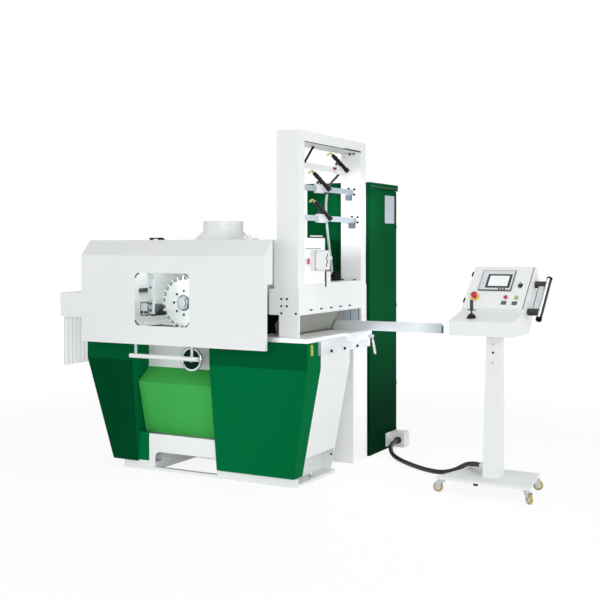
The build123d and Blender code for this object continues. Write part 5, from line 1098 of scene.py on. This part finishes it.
# The raised block's sides are dark grey, painted shade that outlines the bezel.
paint("console_panel", bezel_edge, on_screen)
LID_HINGE_X, LID_HINGE_LOW = 1.4935, 0.01
for name in ("console_panel", "console_body"):
    paint(name, black_oxide, lambda c: c.x < LID_HINGE_X and lid_place(c)[1] > LID_HINGE_LOW
          and lid_place(c)[2] > PROUD)
# Display glass: a blank pale sheet under a clear gloss, fading a little from side to side.
display_mm = 160.0
display_glass, tree, surface = blank_material("pale_display_glass")
place = add_node(tree, "TexCoord").outputs["Object"]
fade = add_node(tree, "TexNoise", {"Vector": place, "Scale": 1000 / display_mm, "Detail": 0.0})
tone = add_node(tree, "Mix", {0: fade.outputs["Fac"], 6: linear("f6f8f8"), 7: linear("eceff0")},
                data_type="RGBA")
glass = add_node(tree, "BsdfPrincipled",
                 {"Base Color": tone.outputs[2], "Roughness": 0.08, "IOR": 1.5, "Coat Weight": 0.3})
tree.links.new(glass.outputs[0], surface)
BEZEL_RIM = 0.008
BEZEL = Plate(SCREEN_WIDTH - BEZEL_RIM, SCREEN_HEIGHT - BEZEL_RIM, 0.003, corner=0.006, edge=0.0015)
FRAME = Plate(0.152, 0.117, 0.001, corner=0.003, edge=0.0004)
DISPLAY = Plate(0.122, 0.088, 0.0008, corner=0.001, edge=0.0003)
KEY = Plate(0.011, 0.011, 0.0015, corner=0.003, edge=0.0004)
KEY_ACROSS, KEY_DROP = (0.028, 0.044, 0.062), 0.078
screen_front = SCREEN_RISE + BEZEL.thickness
FRAME_RIGHT, FRAME_DROP = 0.0136, 0.010
frame_mid = (SCREEN_MID[0] + FRAME_RIGHT, SCREEN_MID[1] - FRAME_DROP)
key_spots = [on_lid(SCREEN_MID[0] + x, SCREEN_MID[1] - KEY_DROP, screen_front) for x in KEY_ACROSS]
copies("screen_bezel", rounded_plate(BEZEL), [on_lid(*SCREEN_MID, SCREEN_RISE)], LID_OUT, screen_satin,
       "console_panel")
copies("screen_frame", rounded_plate(FRAME), [on_lid(*frame_mid, screen_front)], LID_OUT, frame_dark,
       "console_panel")
copies("screen_display", rounded_plate(DISPLAY), [on_lid(*frame_mid, screen_front + FRAME.thickness)],
       LID_OUT, display_glass, "console_panel")
copies("screen_keys", rounded_plate(KEY), key_spots, LID_OUT, frame_dark, "console_panel")
TAG = Plate(0.033, 0.030, 0.0015, corner=0.002, edge=0.0004)
TAG_LEFT, TAG_DROP = 0.004, 0.043
tag_spots = [on_lid(x - TAG_LEFT, s - TAG_DROP) for x, s in BUTTON_SPOTS]
copies("button_tags", rounded_plate(TAG), tag_spots, LID_OUT, tag_grey, "console_panel")
KNOB_RING = [(0.021, 0), (0.021, 0.002), (0.0185, 0.0035), (0.0165, 0.0035), (0.0165, 0)]
copies("selector_bezel", lathe(KNOB_RING, steps=32), [on_lid(*KNOB_SPOT)], LID_OUT, chrome_bezel,
       "console_panel")
LID_SEAL_X, LID_SEAL_SPAN, LID_SEAL_OUT, LID_SEAL_RADIUS = 0.185, (0.012, 0.365), 0.0115, 0.0022
lid_seal = [on_lid(LID_SEAL_X, s, LID_SEAL_OUT) for s in LID_SEAL_SPAN]
piece("lid_seal", [(swept_tube(lid_seal, LID_SEAL_RADIUS, steps=8), Matrix.Identity(4))], black_nylon,
      "console_panel")

# Push buttons, emergency stop, selector and joystick: glossy polyamide caps and black grips.
# The joystick stands in a ribbed rubber bellows on a collar; the rubber is dull against the gloss.
red_cap = moulded_plastic("red_gloss_polyamide", "c01830", roughness=0.2, grain=0.0)
green_cap = moulded_plastic("green_gloss_polyamide", "a0c83a", roughness=0.2, grain=0.0)
dress(red_cap, "emergency_stop", "stop_button")
dress(green_cap, "start_button")
dress(black_nylon, "selector_knob", "joystick")
boot_rubber = moulded_plastic("bellows_rubber", "202123", roughness=0.6, grain_mm=1.0, grain=0.2,
                              specular=0.3)
STICK = Vector((1.602, -0.110, 1.0341))
COLLAR_RADIUS, COLLAR_RISE = 0.0245, 0.002
paint("console_body", boot_rubber,
      lambda c: (c.xy - STICK.xy).length < COLLAR_RADIUS and c.z > STICK.z + COLLAR_RISE)
FOLD_COUNT, FOLD_STEP, FOLD_TAPER = 4, 0.005, 0.002
BOOT_SINK = Vector((0, 0, 0.0045))
BOOT_FOOT, FOLD_CREST, FOLD_ROOT = (0.033, 0), (0.0285, 0.003), (0.0250, 0.0055)
folds = [BOOT_FOOT]
for i in range(FOLD_COUNT):
    folds += [(radius - FOLD_TAPER * i, level + FOLD_STEP * i) for radius, level in (FOLD_CREST, FOLD_ROOT)]
copies("joystick_bellows", lathe(folds, steps=32), [STICK - BOOT_SINK], UP, boot_rubber)
MARK = Plate(0.002, 0.013, 0.0006, corner=0.0008, edge=0.0002)
KNOB_TOP, MARK_UP = 0.0303, 0.006
mark_spot = on_lid(KNOB_SPOT[0], KNOB_SPOT[1] + MARK_UP, KNOB_TOP)
copies("selector_mark", rounded_plate(MARK), [mark_spot], LID_OUT, white_enamel,
       "selector_knob")

# Side push bar: bright satin aluminium tube in black clamps, with a light-grey guard plate beside it.
# The moulded caps are pushed over the tube's ends and slightly proud; the guard has a dark edge strip.
bar_tube = worked_metal("satin_aluminium_tube", "e6eaee", roughness=0.24, grain_mm=4.0)
dress(bar_tube, "side_handle")
BAR_RADIUS, BAR_ACROSS, BAR_BACK, BAR_SHADE_FROM = 0.017, 0.270, -0.063, 0.006
bar_x = LID_ORIGIN.x + BAR_ACROSS
# Black nylon for the clamps, and painted shade: the tube's outer side is painted black.
paint("side_handle", black_nylon, lambda c: c.x < bar_x - BAR_RADIUS - LID_SKIN or c.x > bar_x + BAR_SHADE_FROM)
CAP_PROUD, CAP_DEPTH, CAP_EDGE = 0.0012, 0.014, 0.001
BAR_CAP = [(BAR_RADIUS + CAP_PROUD, -CAP_DEPTH), (BAR_RADIUS + CAP_PROUD, -CAP_EDGE),
           (BAR_RADIUS - CAP_EDGE, CAP_EDGE)]
BAR_LOW, BAR_HIGH = -0.004, 0.346
piece("side_bar_caps", [(lathe(BAR_CAP, steps=28), facing(on_lid(BAR_ACROSS, s, BAR_BACK), way))
                        for s, way in ((BAR_LOW, -LID_UP), (BAR_HIGH, LID_UP))], flap_rubber)
GUARD_EDGE_WIDTH = 0.005
GUARD_EDGE = Plate(GUARD_EDGE_WIDTH, 0.240, 0.004, corner=GUARD_EDGE_WIDTH / 3, edge=0.0005)
GUARD = GUARD_EDGE._replace(width=0.033)
GUARD_MID = 0.171
guard_across = BAR_ACROSS - BAR_RADIUS - GUARD.width / 2
for name, plate, across, finish in (
        ("side_bar_guard", GUARD, guard_across, quill_grey),
        ("side_bar_guard_edge", GUARD_EDGE, guard_across - (GUARD.width + GUARD_EDGE.width) / 2, bezel_edge)):
    copies(name, rounded_plate(plate), [on_lid(across, GUARD_MID, BAR_BACK)], LID_OUT, finish)

# Casters: pressed zinc-plated forks and amber polyurethane treads on white nylon hubs.
# Each hub has a bolted axle that shows as a small hexagon; the treads are clouded and softly glossy.
amber_tread = moulded_plastic("amber_polyurethane", "b5a25a", roughness=0.28)
hub_nylon = moulded_plastic("white_nylon_hub", "dcdcd6", roughness=0.4)
HUB_RADIUS, AXLE_HALF = 0.0185, 0.0178
CASTER_TURNS = (180, -40, 10, 120)
for i, yaw in enumerate(CASTER_TURNS, 1):
    dress(zinc_plate, f"caster_fork_{i}")
    dress(amber_tread, f"caster_wheel_{i}")
    axle = sum(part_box(f"caster_wheel_{i}"), Vector()) / 2
    turn = math.radians(yaw)
    way = Vector((-math.sin(turn), math.cos(turn), 0))
    paint(f"caster_wheel_{i}", hub_nylon,
          lambda c: ((c - axle) - way * (c - axle).dot(way)).length < HUB_RADIUS)
    piece(f"caster_nuts_{i}", [(hex_bolt(across=0.012, height=0.005),
                                facing(axle + way * side * AXLE_HALF, way * side)) for side in (-1, 1)],
          zinc_plate, f"caster_fork_{i}")


# Cables: PVC-sheathed control cable, extruded round and slightly glossy.
# The thick one lies on the floor from the junction box to the pedestal; the thin one hangs in the portal.
def sheathed_cable(name, node, points_mm, radius, material):
    """A cable on a smooth line that its route leads, from the gland it leaves to the one it enters."""
    curve = bpy.data.curves.new(name, "CURVE")
    curve.dimensions = "3D"
    curve.bevel_depth = radius
    curve.bevel_resolution = 5
    line = curve.splines.new("NURBS")
    line.points.add(len(points_mm) - 1)
    for point, place in zip(line.points, points_mm):
        point.co = [v / 1000 for v in place] + [1.0]
    line.order_u = 3
    line.use_endpoint_u = True
    line.resolution_u = 12
    curve.materials.append(material)
    cable = bpy.data.objects.new(name, curve)
    scene.collection.objects.link(cable)
    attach(cable, "machine")
    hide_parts(node)


# The portal's cable is grey PVC below and runs in a black sleeve above, with a sharp change between them.
sheath_black = moulded_plastic("black_pvc_sheath", "1a1b1d", roughness=0.42, grain_mm=2.0, grain=0.1)
SLEEVE_Z, SLEEVE_EDGE = 1.80, 0.003
grain_mm = 2.0
sheath_two_tone, tree, surface = blank_material("grey_pvc_sheath_in_black_sleeve")
place = add_node(tree, "TexCoord").outputs["Object"]
height = add_node(tree, "SeparateXYZ", {0: place})
sleeve = add_node(tree, "MapRange",
                  {"Value": height.outputs["Z"], "From Min": SLEEVE_Z - SLEEVE_EDGE,
                   "From Max": SLEEVE_Z + SLEEVE_EDGE})
tone = add_node(tree, "Mix", {0: sleeve.outputs[0], 6: linear("b9bec2"), 7: linear("2b2d30")},
                data_type="RGBA")
grain = add_node(tree, "TexNoise", {"Vector": place, "Scale": 1000 / grain_mm, "Detail": 2.0})
relief = add_node(tree, "Bump",
                  {"Height": grain.outputs["Fac"], "Strength": 0.1, "Distance": 0.0004})
pvc = add_node(tree, "BsdfPrincipled",
               {"Base Color": tone.outputs[2], "Roughness": 0.45, "IOR": 1.53, "Normal": relief.outputs[0]})
tree.links.new(pvc.outputs[0], surface)
CONSOLE_ROUTE_MM = [
    (700, 905, 57), (700, 842, 57), (706, 770, 40), (760, 660, 19), (850, 530, 16), (985, 400, 17),
    (1140, 290, 16), (1290, 222, 20), (1395, 192, 54), (1472, 164, 104), (1535, 122, 122), (1590, 66, 133),
    (1628, 20, 138)]
PORTAL_ROUTE_MM = [
    (514, 388, 1964), (514, 348, 1952), (514, 282, 1914), (514, 212, 1878), (514, 160, 1822),
    (514, 138, 1742), (514, 144, 1640), (514, 166, 1530), (514, 196, 1420), (514, 222, 1320),
    (514, 231, 1249)]
sheathed_cable("console_cable_sheath", "console_cable", CONSOLE_ROUTE_MM, radius=0.015, material=sheath_black)
sheathed_cable("portal_cable_sheath", "portal_cable", PORTAL_ROUTE_MM, radius=0.008, material=sheath_two_tone)
